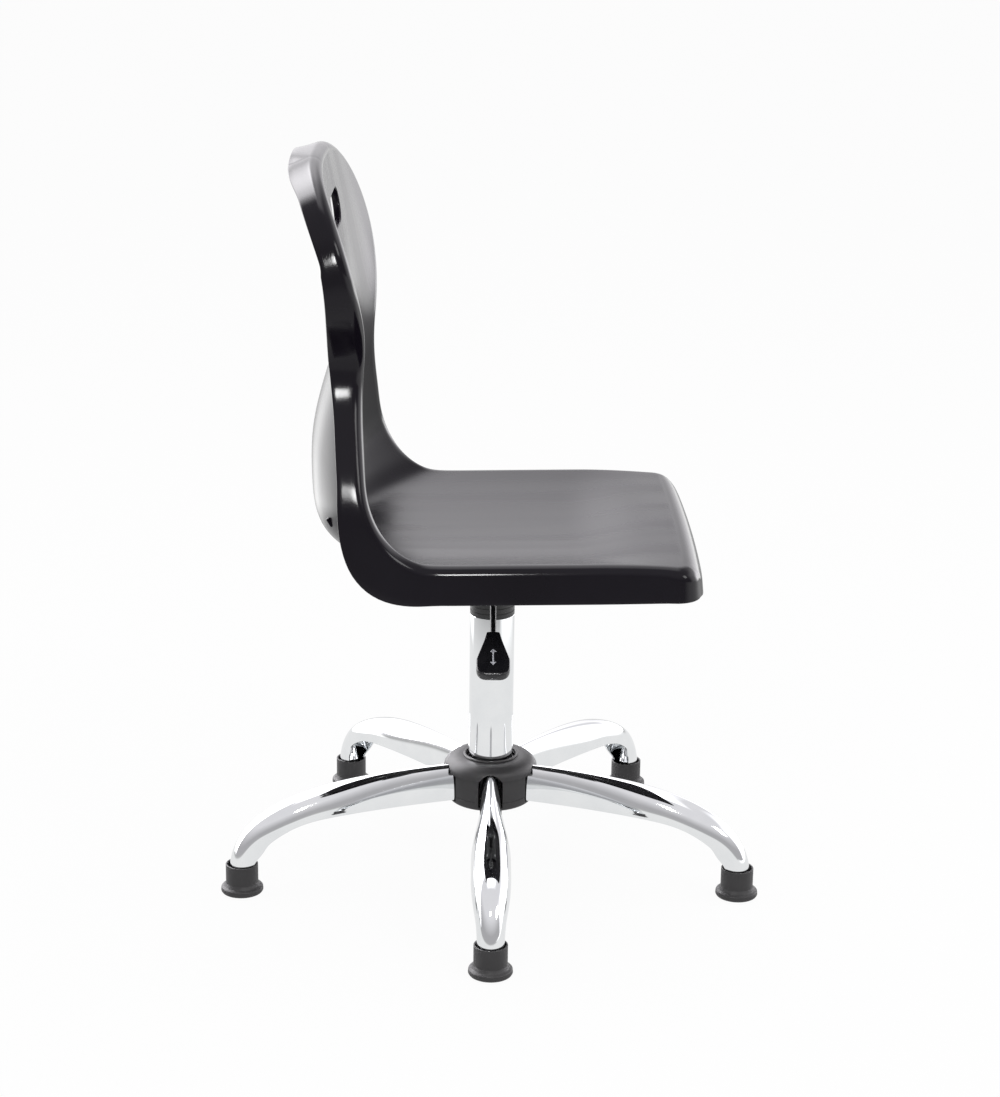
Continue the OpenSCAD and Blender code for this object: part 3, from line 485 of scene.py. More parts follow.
roll_slopes = np.radians([-20, 50])
rim_soft_reach = 9
skirt_places = [1.95, 2.35, 2.95, 3.15, 3.67, 4.15, 4.7, 5.0]
skirt_depths = [41, 51, 30, 30, 39, 28, 28, 34]
front_row_w = seat_half_w - front_corner * (1 - math.cos(math.pi / 4))


def front_drop_at(x):
    """How far the seat falls towards its front edge: the square of the share of the last stretch."""
    return front_drop * np.clip((x - seat_front + front_run) / front_run, 0, 1) ** 2


def seat_line(x):
    """Height of the seat's rim: a straight rise less the fall at the front."""
    return seat_z + seat_rise * (x + seat_rear) / (seat_front + seat_rear) - front_drop_at(x)


def back_x(z):
    """Place of the back's rim at a height: half a sine's bow low down, then a lean that grows squared."""
    bow = back_bow * np.sin(np.pi * np.clip((z - bend_top) / (lean_z - bend_top), 0, 1))
    return -(seat_rear + bend_rx) - bow - back_lean * np.clip((z - lean_z) / (back_top - lean_z), 0, 1) ** 2


def eased(curve):
    """A curve's mean over a short stretch either way, so that its straights run softly into its bends.
    The stretch grows from nothing behind the seat's middle and is gone at the shoulders."""
    widest, start, grows_over, end, fades_over = 0.15, 1.4, 0.4, 4, 0.35

    def mean(u):
        u = np.asarray(u, float)
        reach = widest * np.clip((u - start) / grows_over, 0, 1) * np.clip((end - u) / fades_over, 0, 1)
        steps = np.linspace(-1, 1, 9)
        weights = 1 - steps ** 2 * 0.9
        return sum(w * curve(u + reach * k) for k, w in zip(steps, weights)) / weights.sum()

    return mean


def raw_rim(u):
    """Rim from the side, [x, z]: front corner, seat side, a quarter ellipse, back side, top corner,
    each one unit of u."""
    x = np.where(u < 1, mix(seat_front, side_x, u), mix(side_x, -seat_rear, u - 1))
    a = np.pi / 2 * np.clip(u - 2, 0, 1)
    z = np.where(u < 4, mix(bend_top, shoulder_h, u - 3), mix(shoulder_h, back_top, u - 4))
    return np.stack([
        np.select([u < 2, u < 3], [x, -seat_rear - bend_rx * np.sin(a)], back_x(z)),
        np.select([u < 2, u < 3], [seat_line(x), bend_top - bend_rz * np.cos(a)], z),
    ], -1)


rim_at = eased(raw_rim)


def away_at(u):
    """Unit direction away from the sitter, square to the rim seen from the side."""
    d = rim_at(u + 0.02) - rim_at(u - 0.02)
    d = unit(np.where(u[..., None] < 1.9, [-1.0, 0.0], d))
    return np.stack([-d[..., 1], d[..., 0]], -1)


def raw_spine(u):
    """Middle line of the shell from the side: the rim less the seat's dish, a quarter superellipse behind
    the hips, and the rim less the hollow of the back."""
    x = np.where(u < 1, raw_rim(u)[..., 0], mix(side_x, -spine_bend_x, u - 1))
    seat = seat_line(np.maximum(x, -seat_rear)) - seat_dish * blend((seat_front - x) / front_dish_run)
    a = np.pi / 2 * np.clip(u - 2, 0, 1)
    rim = raw_rim(u)
    z = rim[..., 1]
    hollow = mix(hip_dish, back_dish, blend((z - bend_top) / (hollow_end - bend_top)))
    hollow = hollow * mix(1, top_dish_share, blend((z - hollow_end) / (back_top - hollow_end)))
    fall = spine_fall * (1 - blend((u - 3) / spine_fall_share))
    bend_x = mix(-spine_bend_x, -hip_x, sup_sin(a, spine_power))
    bend_z = mix(spine_bend_z, seat_z - seat_dish, sup_cos(a, spine_power))
    return np.stack([
        np.select([u < 2, u < 3], [x, bend_x], rim[..., 0] - hollow),
        np.select([u < 2, u < 3], [seat, bend_z], z - fall),
    ], -1)


spine_at = eased(raw_spine)


def side_half_w(z):
    """Half width at a height: half cosines from the seat in to the waist and out again to the back."""
    lower = mix(seat_half_w, waist_half_w, blend((z - hip_z) / (waist_z - hip_z)))
    upper = mix(waist_half_w, back_half_w, blend((z - waist_z) / (shoulder_h - waist_z)))
    return np.where(z < waist_z, lower, upper)


def front_bow(s):
    """Bow of the front rows: round corners and a slight bulge between them."""
    t = np.clip((np.abs(s) * front_row_w - seat_half_w + front_corner) / front_corner, 0, 1)
    return np.sqrt(1 - t * t) - math.cos(math.pi / 4) + (1 - s * s) * front_bulge / front_corner


def top_bow(s):
    """Bow of the top rows: a superellipse's arc over its corner's chord."""
    e = 0.5 ** (1 / top_power)
    return (1 - np.abs(s * e) ** top_power) ** (1 / top_power) - e


def row_u(row, s):
    """Place along the rim of a row's point at share s of its half width."""
    return row[0] - row[2] * np.where(row[2] > 0, front_bow(s), top_bow(s))


def sheet(row, s):
    """Sitter's face of the shell: the rim plus the way to the middle line, times one less s to a power."""
    u = row_u(row, s)
    rim = rim_at(u)
    dish = (1 - np.abs(s) ** section_power) * (1 - np.minimum(row[2], 0) ** 2)
    p = rim + (spine_at(u) - rim) * dish[..., None]
    return np.stack([p[..., 0], row[1] * s, p[..., 1]], -1)


def corner_row(a):
    """The row that starts at angle a of the top corners' superellipse."""
    return [4 + sup_sin(a, top_power), back_half_w * sup_cos(a, top_power), -a / (math.pi / 4)]


def sheet_at(y, z):
    """The same face above the shoulders at a width and height: the row through the point is found by
    halving the corner's angle."""
    u = 4 + (z - shoulder_h) / top_corner
    low, high = np.zeros_like(z), np.full_like(z, math.pi / 4)
    for _ in range(40):
        a = (low + high) / 2
        row = corner_row(a)
        short = row_u(row, np.clip(y / row[1], -1, 1)) < u
        low, high = np.where(short, a, low), np.where(short, high, a)
    row = corner_row(low)
    return sheet(row, y / row[1])


def shell_rows(front, seat, bend, back, corner):
    """Rows of the sheet from the front edge to the crest: [place along the rim, half width, bow]."""
    a = math.pi / 4 * (1 - np.arange(front) / front)
    rows = [np.stack([1 - np.sin(a), seat_half_w - front_corner * (1 - np.cos(a)), a / (math.pi / 4)])]
    u = 1 + np.arange(seat) / seat
    rows.append(np.stack([u, np.full(seat, float(seat_half_w)), np.zeros(seat)]))
    u = np.concatenate([2 + blend(np.arange(bend) / bend), 3 + np.arange(back) / back])
    rows.append(np.stack([u, side_half_w(rim_at(u)[:, 1]), np.zeros(len(u))]))
    rows.append(np.stack(corner_row(math.pi / 4 * np.linspace(0, 1, corner + 1))))
    return np.concatenate(rows, 1)


def skirt_at(u):
    """Depth of the skirt along the rim: half cosines from one stated depth to the next."""
    depth = np.full_like(u, float(skirt_depths[0]))
    for k in range(1, len(skirt_depths)):
        t = (u - skirt_places[k - 1]) / (skirt_places[k] - skirt_places[k - 1])
        depth = depth + (skirt_depths[k] - skirt_depths[k - 1]) * blend(t)
    return depth


def softened(values, places, reach):
    """Mean of values along a closed loop of places, weighted by a bell of the distance along it."""
    steps = np.sqrt(((places - np.roll(places, 1, 0)) ** 2).sum(1))
    at = np.cumsum(steps)
    gap = np.abs(at[:, None] - at[None, :])
    gap = np.minimum(gap, at[-1] - gap)
    weight = np.exp(-(gap / reach) ** 2) * steps[None, :]
    return weight @ values / weight.sum(1, keepdims=True)


def rim_sections(places, u, normal):
    """Rings of the rolled rim and its skirt: an arc about a centre that lies away and outwards of the rim,
    a straight splayed skirt with a rounded lower edge, and the same way back inside the wall."""
    ahead, behind = unit(np.roll(places, -1, 0) - places), unit(places - np.roll(places, 1, 0))
    w = away_at(u)
    away = np.stack([w[:, 0], np.zeros(len(w)), w[:, 1]], -1)
    outward = unit(np.cross(away, ahead + behind))
    slope = np.clip(np.arctan2(-dot(normal, outward), -dot(normal, away)), *roll_slopes)
    forward = np.maximum(outward[:, :1], 0)
    side = np.sqrt(1 - np.minimum(forward, 1) ** 2)
    r = 1 / ((forward / front_r) ** roll_power + (side / rim_r) ** roll_power) ** (1 / roll_power)
    r, slope = softened(r, places, rim_soft_reach), softened(slope, places, rim_soft_reach)
    length = (skirt_at(u) - front_drop_at(places[:, 0]))[:, None] - r
    centre = places + r * (away * np.cos(slope) + outward * np.sin(slope))
    down = away * math.cos(skirt_splay) + outward * math.sin(skirt_splay)
    out = outward * math.cos(skirt_splay) - away * math.sin(skirt_splay)

    def roll(k, wall):
        a = mix(-slope, math.pi / 2 - skirt_splay, k)
        return centre + (r - wall) * (outward * np.sin(a) - away * np.cos(a))

    e = skirt_edge_r
    turns = np.linspace(0, np.pi / 2, 5)
    foot = centre + down * (length - e)
    outer = [foot + out * (r - e + e * np.cos(a)) + down * e * np.sin(a) for a in turns]
    inner = [foot + out * (r - shell_wall + e - e * np.sin(a)) + down * e * np.cos(a) for a in turns]
    roll_rings = 14
    steps = np.arange(1, roll_rings + 1) / roll_rings
    skirt = np.linspace(0, 1, 5)[1:-1]
    start_out, start_in = roll(1, 0), roll(1, shell_wall)
    return (
        [roll(k, 0) for k in steps] + [mix(start_out, outer[0], t) for t in skirt] + outer
        + inner + [mix(inner[-1], start_in, t) for t in skirt] + [roll(k, shell_wall) for k in steps[::-1]]
    )


def bands(rows_of_numbers):
    """Four-sided faces between closed rings that are given as rows of point numbers."""
    a = np.stack(rows_of_numbers)
    b = np.roll(a, -1, 1)
    return np.stack([a[:-1], b[:-1], b[1:], a[1:]], -1).reshape(-1, 4)


def even_normals(face):
    """Unit normals of a grid, towards the sitter, evened out over neighbours by their patches' areas, since
    the grid's corners are flattened onto a smooth rim."""
    area = np.cross(np.gradient(face, axis=1), np.gradient(face, axis=0))
    for _ in range(4):
        wide = np.pad(area, ((1, 1), (1, 1), (0, 0)), "edge")
        area = (wide[:-2] + 2 * wide[1:-1] + wide[2:])[:, 1:-1] + wide[1:-1, :-2] + wide[1:-1, 2:]
    return unit(area)


def border(i0, i1, j0, j1):
    """Rows and columns of the points round a patch of a grid, one after another."""
    i, j = np.arange(i0, i1 + 1), np.arange(j0, j1 + 1)
    return np.concatenate([
        np.stack([0 * j + i0, j]), np.stack([i[1:], 0 * i[1:] + j1]),
        np.stack([0 * j[1:] + i1, j[-2::-1]]), np.stack([i[-2:0:-1], 0 * i[-2:0:-1] + j0])
    ], 1)


class Skin:
    """Points and faces that grow from a sheet and its copy behind it, ring by ring."""

    def __init__(self, face, back):
        self.rows, self.cols = face.shape[:2]
        self.points = [face.reshape(-1, 3), back.reshape(-1, 3)]
        self.count = 2 * self.rows * self.cols
        self.faces = []

    def join(self, edge, rings):
        """Faces from a closed edge of the sheet, through new rings, to the same edge of the copy."""
        numbers = [edge[0] * self.cols + edge[1]]
        for ring in rings:
            self.points.append(ring)
            numbers.append(self.count + np.arange(len(ring)))
            self.count += len(ring)
        numbers.append(numbers[0] + self.rows * self.cols)
        self.faces.append(bands(numbers))


def handle_rings(far):
    """Rings of the handle hole, inwards from an edge [y, z] of the sheet round it: the sheet up to the hole,
    its rounded edge, the collar behind it with its rounded tip and root, and the rear face out again."""
    across = np.clip(far[:, 0], -handle_flat, handle_flat)
    core = np.stack([across, np.full(len(far), float(handle_middle))], -1)
    ray = unit(far - core)
    near = core + ray * (handle_r + handle_edge_r)

    def on_sheet(yz):
        return sheet_at(yz[:, 0], yz[:, 1])

    def square(yz):
        dy, dz = np.array([0.5, 0]), np.array([0, 0.5])
        return unit(np.cross(on_sheet(yz + dy) - on_sheet(yz - dy), on_sheet(yz + dz) - on_sheet(yz - dz)))

    front, normal = on_sheet(near), square(near)
    towards = unit(on_sheet(core + ray * handle_r) - front)

    def arc(centre, r, first, second, turns):
        """Rings that turn a quarter about their centre, from the first direction to the second."""
        return [centre + r * (first * np.cos(a) + second * np.sin(a)) for a in turns]

    quarter = np.linspace(0, np.pi / 2, 6)
    steps = np.linspace(0, 1, 7)[1:-1]
    edge = front - handle_edge_r * normal
    tip = front - (shell_wall + handle_lip - lip_r) * normal
    root = front - (shell_wall + lip_r) * normal
    inner, outer = handle_edge_r - lip_r, handle_edge_r - handle_lip_t
    rings = [on_sheet(mix(far, near, k)) for k in steps] + [front]
    rings += arc(edge, handle_edge_r, normal, towards, np.linspace(0, np.pi / 2, 7)[1:])
    rings += arc(tip + towards * inner, lip_r, towards, -normal, quarter)
    rings += arc(tip + towards * (outer + lip_r), lip_r, -normal, -towards, quarter)
    rings += arc(root + towards * (outer - lip_r), lip_r, towards, normal, quarter)
    near = core + ray * (handle_r + handle_lip_t + lip_r)
    return rings + [on_sheet(mix(far, near, k)) - shell_wall * square(mix(far, near, k)) for k in steps[::-1]]


def make_shell():
    """The shell: a sheet and its copy a wall's thickness behind, joined by the rolled rim all round and by
    the edge and collar of the handle hole."""
    rows = shell_rows(front=6, seat=30, bend=40, back=50, corner=26)
    n, cols, crowding = rows.shape[1], 97, 0.8
    t = np.linspace(-1, 1, cols)
    s = mix(t, np.sin(np.pi / 2 * t), crowding)
    face = sheet(rows[:, :, None], s)
    normal = even_normals(face)
    skin = Skin(face, face - shell_wall * normal)
    i, j = border(0, n - 1, 0, cols - 1)
    skin.join((i, j), rim_sections(face[i, j], row_u(rows[:, i], s[j]), normal[i, j]))
    rim_end = skin.count

    # The patch of the grid that the handle hole's rings replace
    above, beside = handle_r + 8, handle_flat + handle_r + 12
    i0 = int(np.argmax(rows[0] >= 4))
    i1 = int(np.argmax(face[:, :, 2].min(1) > handle_middle + above))
    j0 = int(np.argmax(face[i0:i1 + 1, :, 1].min(0) > -beside))
    j1 = cols - 1 - j0
    i, j = border(i0, i1, j0, j1)
    skin.join((i, j), handle_rings(face[i, j][:, 1:]))
    cells = grid_faces(n, cols)
    row, col = cells[:, 0] // cols, cells[:, 0] % cols
    kept = cells[~((row >= i0) & (row < i1) & (col >= j0) & (col < j1))]

    points = np.concatenate(skin.points) + [0, axis_y, 0]
    faces = np.concatenate(skin.faces + [kept, kept + n * cols])
    zone = np.zeros(len(points))
    zone[2 * n * cols:rim_end] = 1
    make_piece("moulded_shell", points, faces, "seat", "shell_plastic", ["seat_shell"], zone=zone)


def make_bosses():
    """Four round bosses that hold the inserts, each with its bore."""
    top = seat_z - seat_dish - shell_wall + 3
    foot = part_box("threaded_inserts")[0].z / MM - 0.4
    corners = [[boss_bore_r, foot], [boss_r, foot], [boss_root_r, top], [boss_bore_r, top]]
    points, faces = turned(rounded(corners, [0.4, 0.8, 0.3, 0.3]), 48)
    for k, (sx, sy) in enumerate([(1, 1), (1, -1), (-1, 1), (-1, -1)]):
        place = [boss_x * sx, boss_y * sy + axis_y, 0]
        make_piece(f"shell_boss_{k + 1}", points + place, faces, "seat", "shell_plastic")


def turn_pair(a, b, angle):
    """Measures along two axes after a turn by an angle from the first axis to the second."""
    return a * math.cos(angle) - b * math.sin(angle), a * math.sin(angle) + b * math.cos(angle)


def make_rib(name, side):
    """A short rib low on one side of the hip bulge: a squarish superellipsoid, half sunk in the rear face."""
    rows, cols, step = 25, 32, 0.02
    v, h = np.linspace(-np.pi / 2, np.pi / 2, rows)[:, None], np.linspace(-np.pi, np.pi, cols + 1)[None, :-1]
    x = rib_half[0] * sup_cos(v, rib_power) * sup_cos(h, rib_power)
    y = rib_half[1] * sup_cos(v, rib_power) * signed(np.sin(h), rib_power)
    z = rib_half[2] * signed(np.sin(v), rib_power) + 0 * h
    u = np.array([rib_u])
    half_w = side_half_w(rim_at(u)[:, 1])

    def at(du, ds):
        return sheet([u + du, half_w, 0 * u], np.array([rib_share * side + ds]))[0]

    normal = unit(np.cross(at(0, step) - at(0, -step), at(step, 0) - at(-step, 0)))
    place = at(0, 0) - shell_wall * normal
    x, z = turn_pair(x, z, math.radians(rib_tilt))
    x, y = turn_pair(x, y, math.radians(-rib_turn * side))
    points = np.stack([x, y, z], -1) + place + [0, axis_y, 0]
    make_piece(name, points, grid_faces(rows, cols, False, True), "seat", "shell_plastic")


# Base, column and lever. An angle along a leg runs from 0 at the hub to a quarter turn at the foot.
leg_cup_gap = 1.4
leg_end_half = cup_r - cup_wall - leg_cup_gap
leg_end_z = 8.2
leg_root_r = hub_r + 0.2
leg_end_r = foot_circle_r + leg_end_half
leg_power = 2.8
leg_section_power = 2.3
leg_depth = 24
leg_deep_by = math.radians(48)
leg_wide_by = math.radians(32)
leg_narrow_from = math.radians(42)
leg_narrow_over = math.radians(40)
leg_foot_from = math.radians(60)
leg_foot_over = math.radians(23)
leg_foot_curl = 40
leg_edge_points = 5
stem_r = 3.8
cone_wall_top = 34
paddle_flare_share = 0.62
paddle_tail_share = 0.72


def leg_loops(a, steps):
    """Closed sections of a leg at angles a: a superellipse arc, rounded over at both edges, and the same arc
    a wall's thickness inside. Each stands square to the leg's top edge, which is itself a superellipse."""
    a = a[:, None]
    foot = blend((a - leg_foot_from) / leg_foot_over)
    top = [
        mix(leg_root_r, leg_end_r, sup_sin(a, leg_power)), mix(leg_end_z, leg_root_top, sup_cos(a, leg_power))
    ]
    e = 2 - 2 / leg_power
    up = [
        np.maximum(np.sin(a), 0) ** e / (leg_end_r - leg_root_r),
        np.maximum(np.cos(a), 0) ** e / (leg_root_top - leg_end_z)
    ]
    size = np.hypot(up[0], up[1])
    up = [up[0] / size, up[1] / size]
    depth = mix(leg_root_top - leg_root_bottom, leg_depth, blend(a / leg_deep_by))
    depth = depth + (leg_end_half - leg_depth) * foot
    half = mix(leg_root_w / 2, leg_wide_w / 2, blend(a / leg_wide_by))
    half = half - (leg_wide_w / 2 - leg_end_half) * blend((a - leg_narrow_from) / leg_narrow_over)
    p = np.radians(90 + leg_foot_curl * foot) * np.linspace(-1, 1, 2 * steps + 1)[None, :]
    power = mix(leg_section_power, 2, foot)

    def arc(wall):
        side = np.sign(p) * sup_sin(np.abs(p), power) * (half - wall)
        return np.stack([side, sup_cos(p, power) * (depth - wall) - depth], -1)

    outer, inner = arc(0), arc(leg_wall)

    def edge(k, turn):
        middle, v = (outer[:, k] + inner[:, k]) / 2, (outer[:, k] - inner[:, k]) / 2
        w = turn * np.stack([v[:, 1], -v[:, 0]], -1)
        angles = np.linspace(0, np.pi, leg_edge_points + 2)[1:-1]
        return np.stack([middle + v * math.cos(b) + w * math.sin(b) for b in angles], 1)

    right, left = edge(-1, 1), edge(0, -1)
    loop = np.concatenate([outer, right, inner[:, ::-1], left[:, ::-1]], 1)
    side, h = loop[..., 0], loop[..., 1]
    return np.stack([top[0] + up[0] * h, side, top[1] + up[1] * h], -1), 2 * steps + 1


def make_leg(k):
    """A leg: its sections joined one to the next, with a lid at each end."""
    stations, steps = 90, 28
    a = np.pi / 2 * np.linspace(0, 1, stations + 1)
    a = mix(a, np.pi / 2 * blend(2 * a / np.pi), 0.75)
    loops, arc = leg_loops(a, steps)
    n, e = loops.shape[1], leg_edge_points
    # A lid: the outer arc's points meet the inner arc's, and the rounded edges close like fans
    inner = arc + e + np.arange(arc)[::-1]
    i = np.arange(arc - 1)
    lid = [np.stack([i, i + 1, inner[i + 1], inner[i]], -1)]
    right = np.concatenate([[arc - 1], arc + np.arange(e), [arc + e]])
    left = np.concatenate([[2 * arc + e - 1], 2 * arc + e + np.arange(e), [0]])
    for edge in (right, left):
        lid.append(np.stack([edge[0] + 0 * edge[1:-2], edge[1:-2], edge[2:-1], edge[2:-1]], -1))
        lid.append(np.stack([edge[0], edge[-2], edge[-1], edge[-1]])[None])
    lid = np.concatenate(lid)
    points = spun(loops.reshape(-1, 3), leg_angle(k))
    faces = np.concatenate([grid_faces(stations + 1, n, False, True), lid[:, ::-1], lid + stations * n])
    make_piece(f"chromed_leg_{k + 1}", points, faces, "base", "chrome", [f"leg_{k + 1}"], sharp=50)


# Outlines of a foot's pieces, [radius, height] with the radius of each corner
foot_pieces = [
    ("foot_glide", "glide", "glide_plastic", 96, [
        [0.001, 2.5], [0.001, 0], [18.6, 0], [19.2, 0.6], [22.3, 1.0], [23.55, 3.0], [23.2, 7.0], [20.2, 8.9],
        [cup_r, 12.5], [cup_r, cup_h], [cup_r - cup_wall, cup_h], [cup_r - cup_wall, 8],
        [6.2, 8], [6.2, 18], [stem_r, 18], [stem_r, 2.5]
    ], [0, 0, 0.5, 0.3, 1.4, 1.5, 1.9, 2.2, 3.2, 0.8, 0.6, 1.5, 0.8, 0.5, 0.2, 0.1]),
    ("foot_cone", "foot_socket", "chrome", 64, [
        [leg_end_half - leg_wall - 0.3, 8.2], [leg_end_half - leg_wall - 0.3, 10.7], [10.8, 10.7],
        [9.8, cone_wall_top], [4.8, 50], [stem_r + 0.05, 50], [stem_r + 0.05, 47], [7.2, cone_wall_top],
        [8.2, 8.2]
    ], [0.3, 0.6, 1.0, 3.0, 0.9, 0.1, 0.1, 2.0, 0.3]),
    ("foot_knob", "glide_stem", "chrome", 64, [
        [0.001, 2.5], [stem_r, 2.5], [stem_r, 50.2], [4.7, 50.2], [4.7, 53.2], [3.4, 55.6], [0.001, 55.7]
    ], [0, 0.3, 0.1, 0.4, 1.1, 1.0, 0]),
]


def make_foot(k):
    """Glide, cone and knob of one foot, each an outline carried round its upright axis."""
    for name, node, slot, segments, corners, radii in foot_pieces:
        points, faces = turned(rounded(corners, radii), segments)
        points = spun(points, leg_angle(k), foot_circle_r)
        make_piece(f"{name}_{k + 1}", points, faces, "base", slot, [f"{node}_{k + 1}"], sharp=60)


def make_column():
    """The gas lift's tube: a straight outline with eased lips, its foot tapered into the hub."""
    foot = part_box("column_tube")[0].z / MM
    bore_r, taper_top = column_r - 1.5, 127
    corners = [
        [24.4, foot], [column_r, taper_top], [column_r, column_top], [bore_r, column_top],
        [bore_r, taper_top], [22.9, taper_top - 1], [22.9, foot]
    ]
    outline = rounded(corners, [0.3, 0, 0.5, 0.4, 0, 0, 0.3])
    points, faces = turned(outline, 160)
    make_piece("column", points + [0, axis_y, 0], faces, "base", "chrome", ["column_tube"], sharp=60)


def lever_ways():
    """Unit directions out along the lever's rod, and square to it on the paddle's upper side."""
    c, s = math.cos(droop), math.sin(droop)
    return np.array([0, -c, -s]), np.array([0, -s, c])


def make_paddle():
    """The grip: superellipse sections along the rod whose half width grows from the neck to the widest place
    and closes in a rounded end."""
    rows, cols, power = 90, 96, 5.5
    t = np.linspace(0, 1, rows)
    along = paddle_l * t
    flare = np.clip(along / (paddle_flare_share * paddle_l), 0, 1)
    half = mix(paddle_neck_w / 2, paddle_w / 2, flare - 0.10 * np.sin(np.pi * flare) * (1 - flare))
    tail = np.clip((along - paddle_tail_share * paddle_l) / ((1 - paddle_tail_share) * paddle_l), 0, 1)
    half = half * (1 - tail ** 3.4) ** (1 / 2.6)
    half = half * np.clip(along / 1.6, 0, 1) ** 0.25
    thick = paddle_t / 2 * np.clip(along / 1.2, 0, 1) ** 0.3
    thick = thick * (1 - np.clip((t - 0.93) / 0.07, 0, 1) ** 2.4) ** 0.42
    thick = thick * mix(0.93, 1, np.clip(1 - 2 * np.abs(t - 0.5), 0, 1))
    a = np.linspace(-np.pi, np.pi, cols + 1)[:-1]
    x = half[:, None] * sup_cos(a, power)
    y = thick[:, None] * signed(np.sin(a), power)
    out = paddle_start + along[:, None] + 0 * x
    rod, up = lever_ways()
    points = pivot_place() + x[..., None] * [1, 0, 0] + y[..., None] * up + out[..., None] * rod
    faces = grid_faces(rows, cols, False, True)
    make_piece("lever_grip", points, faces, "lever", "paddle_plastic", ["lever_paddle"])


def pivot_place():
    """The middle of the pin that the lever turns on."""
    low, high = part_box("lever_pivot_pin")
    return np.array([0, axis_y - lever_arm, (low.z + high.z) / 2 / MM])


def merged(node, name, slot):
    """A copy of a solid's triangles with its points merged, so that curved faces shade smoothly."""
    source = frame["nodes"][node].data
    co = np.empty(len(source.vertices) * 3, np.float32)
    source.vertices.foreach_get("co", co)
    corners = np.empty(len(source.loops), np.int32)
    source.loops.foreach_get("vertex_index", corners)
    points, faces = co.reshape(-1, 3) / MM, corners.reshape(-1, 3)
    make_piece(name, points, faces, body_of_node[node], slot, [node], sharp=35)


finishes = {
    "shell_plastic": gloss_plastic(),
    "chrome": chromed_steel(),
    "glide_plastic": moulded(
        "glide_plastic_skin", (0.022, 0.021, 0.022), (0.032, 0.031, 0.032), 0.5, 1500.0, 0.0004),
    "cover_plastic": moulded(
        "cover_plastic_skin", (0.024, 0.023, 0.024), (0.034, 0.033, 0.034), 0.46, 1300.0, 0.0004),
    "bush_plastic": moulded(
        "bush_plastic_skin", (0.010, 0.010, 0.011), (0.03, 0.03, 0.031), 0.32, 1200.0, 0.0004),
    "black_steel": painted_steel(),
    "bare_steel": turned_metal("bare_turned_steel", (0.42, 0.42, 0.43), (0.55, 0.55, 0.56), 0.3),
    "brass": turned_metal("turned_brass", (0.55, 0.38, 0.14), (0.68, 0.5, 0.22), 0.28),
    "paddle_plastic": paddle_plastic(),
    "rubber": soft_rubber(),
}
for piece in frame["nodes"].values():
    for place in piece.material_slots:
        named = place.material.name.split(".")[0] if place.material else "black_steel"
        place.material = finishes.get(named, finishes["black_steel"])

make_shell()
make_bosses()
make_rib("shell_rib_1", -1)
make_rib("shell_rib_2", 1)
for k in range(5):
    make_leg(k)
    make_foot(k)
make_column()
make_paddle()
merged("hub_cover_upper", "cover_cap", "cover_plastic")
merged("hub_cover_lower", "cover_foot", "cover_plastic")
merged("guide_bush", "column_bush", "bush_plastic")
merged("lever_rod", "release_rod", "black_steel")


# Floor, light and camera
def right_panel(x):
    """Level of the bright panel to the chair's front, over the share of a ray that runs along +x."""
    return (x.ramp(0.18, 0.6, 0.0, 3.1) + x.ramp(0.6, 0.76, 0.0, 2.0)) * x.ramp(0.8, 0.92, 1.0, 0.3)


def make_stage():
    """A white floor that shows white to the camera but keeps a faint shadow. In gloss it carries on the
    panels of the world, by the distance and the side of what is mirrored."""
    half = 40
    mesh = bpy.data.meshes.new("floor")
    corners = [(-half, -half, 0), (half, -half, 0), (half, half, 0), (-half, half, 0)]
    mesh.from_pydata(corners, [], [(0, 1, 2, 3)])
    floor = placed("floor", mesh)
    f = Finish("pale_floor")
    p = f.place()
    x, y = f.axes(p)[:2]
    grain = f.mixed(f.noise(p, 30.0, 3.0, 0.5), shade(0.8, 0.8, 0.8), shade(0.84, 0.84, 0.84))
    paper = f.node("ShaderNodeBsdfDiffuse", None, {"Color": grain})
    white = f.node("ShaderNodeEmission", None, {"Color": shade(1, 1, 1), "Strength": 1.0})
    away = f.node("ShaderNodeVectorMath", {"operation": "LENGTH"}, {0: p}, out=1)
    behind = (y / away).ramp(0.25, 0.55)
    side = x / away
    near = away.ramp(0.9, 1.8, 0.92, 0.5) + side.ramp(0.6, 0.9, 0.0, 1.4) * away.ramp(0.9, 1.8)
    right = right_panel(side) * away.ramp(2.8, 4.5)
    left = side.ramp(-0.55, -0.3, 3.2, 0.0) * away.ramp(1.0, 1.5)
    level = near + behind * (away.ramp(2.6, 4.0, 0.0, 0.6) + right + left)
    tint = f.node("ShaderNodeVectorMath", {"operation": "SCALE"}, {0: (1.0, 1.0, 1.0), "Scale": level})
    mirrored = f.node("ShaderNodeEmission", None, {"Color": tint, "Strength": 1.0})
    seen = (f.ray("Camera") + f.ray("Transmission")).ramp(0, 1, 0, 0.95)
    for_camera = f.node("ShaderNodeMixShader", None, {0: seen, 1: paper, 2: white})
    both = f.node("ShaderNodeMixShader", None, {0: f.ray("Glossy") * 0.93, 1: for_camera, 2: mirrored})
    f.node("ShaderNodeOutputMaterial", None, {"Surface": both})
    mesh.materials.append(f.material)


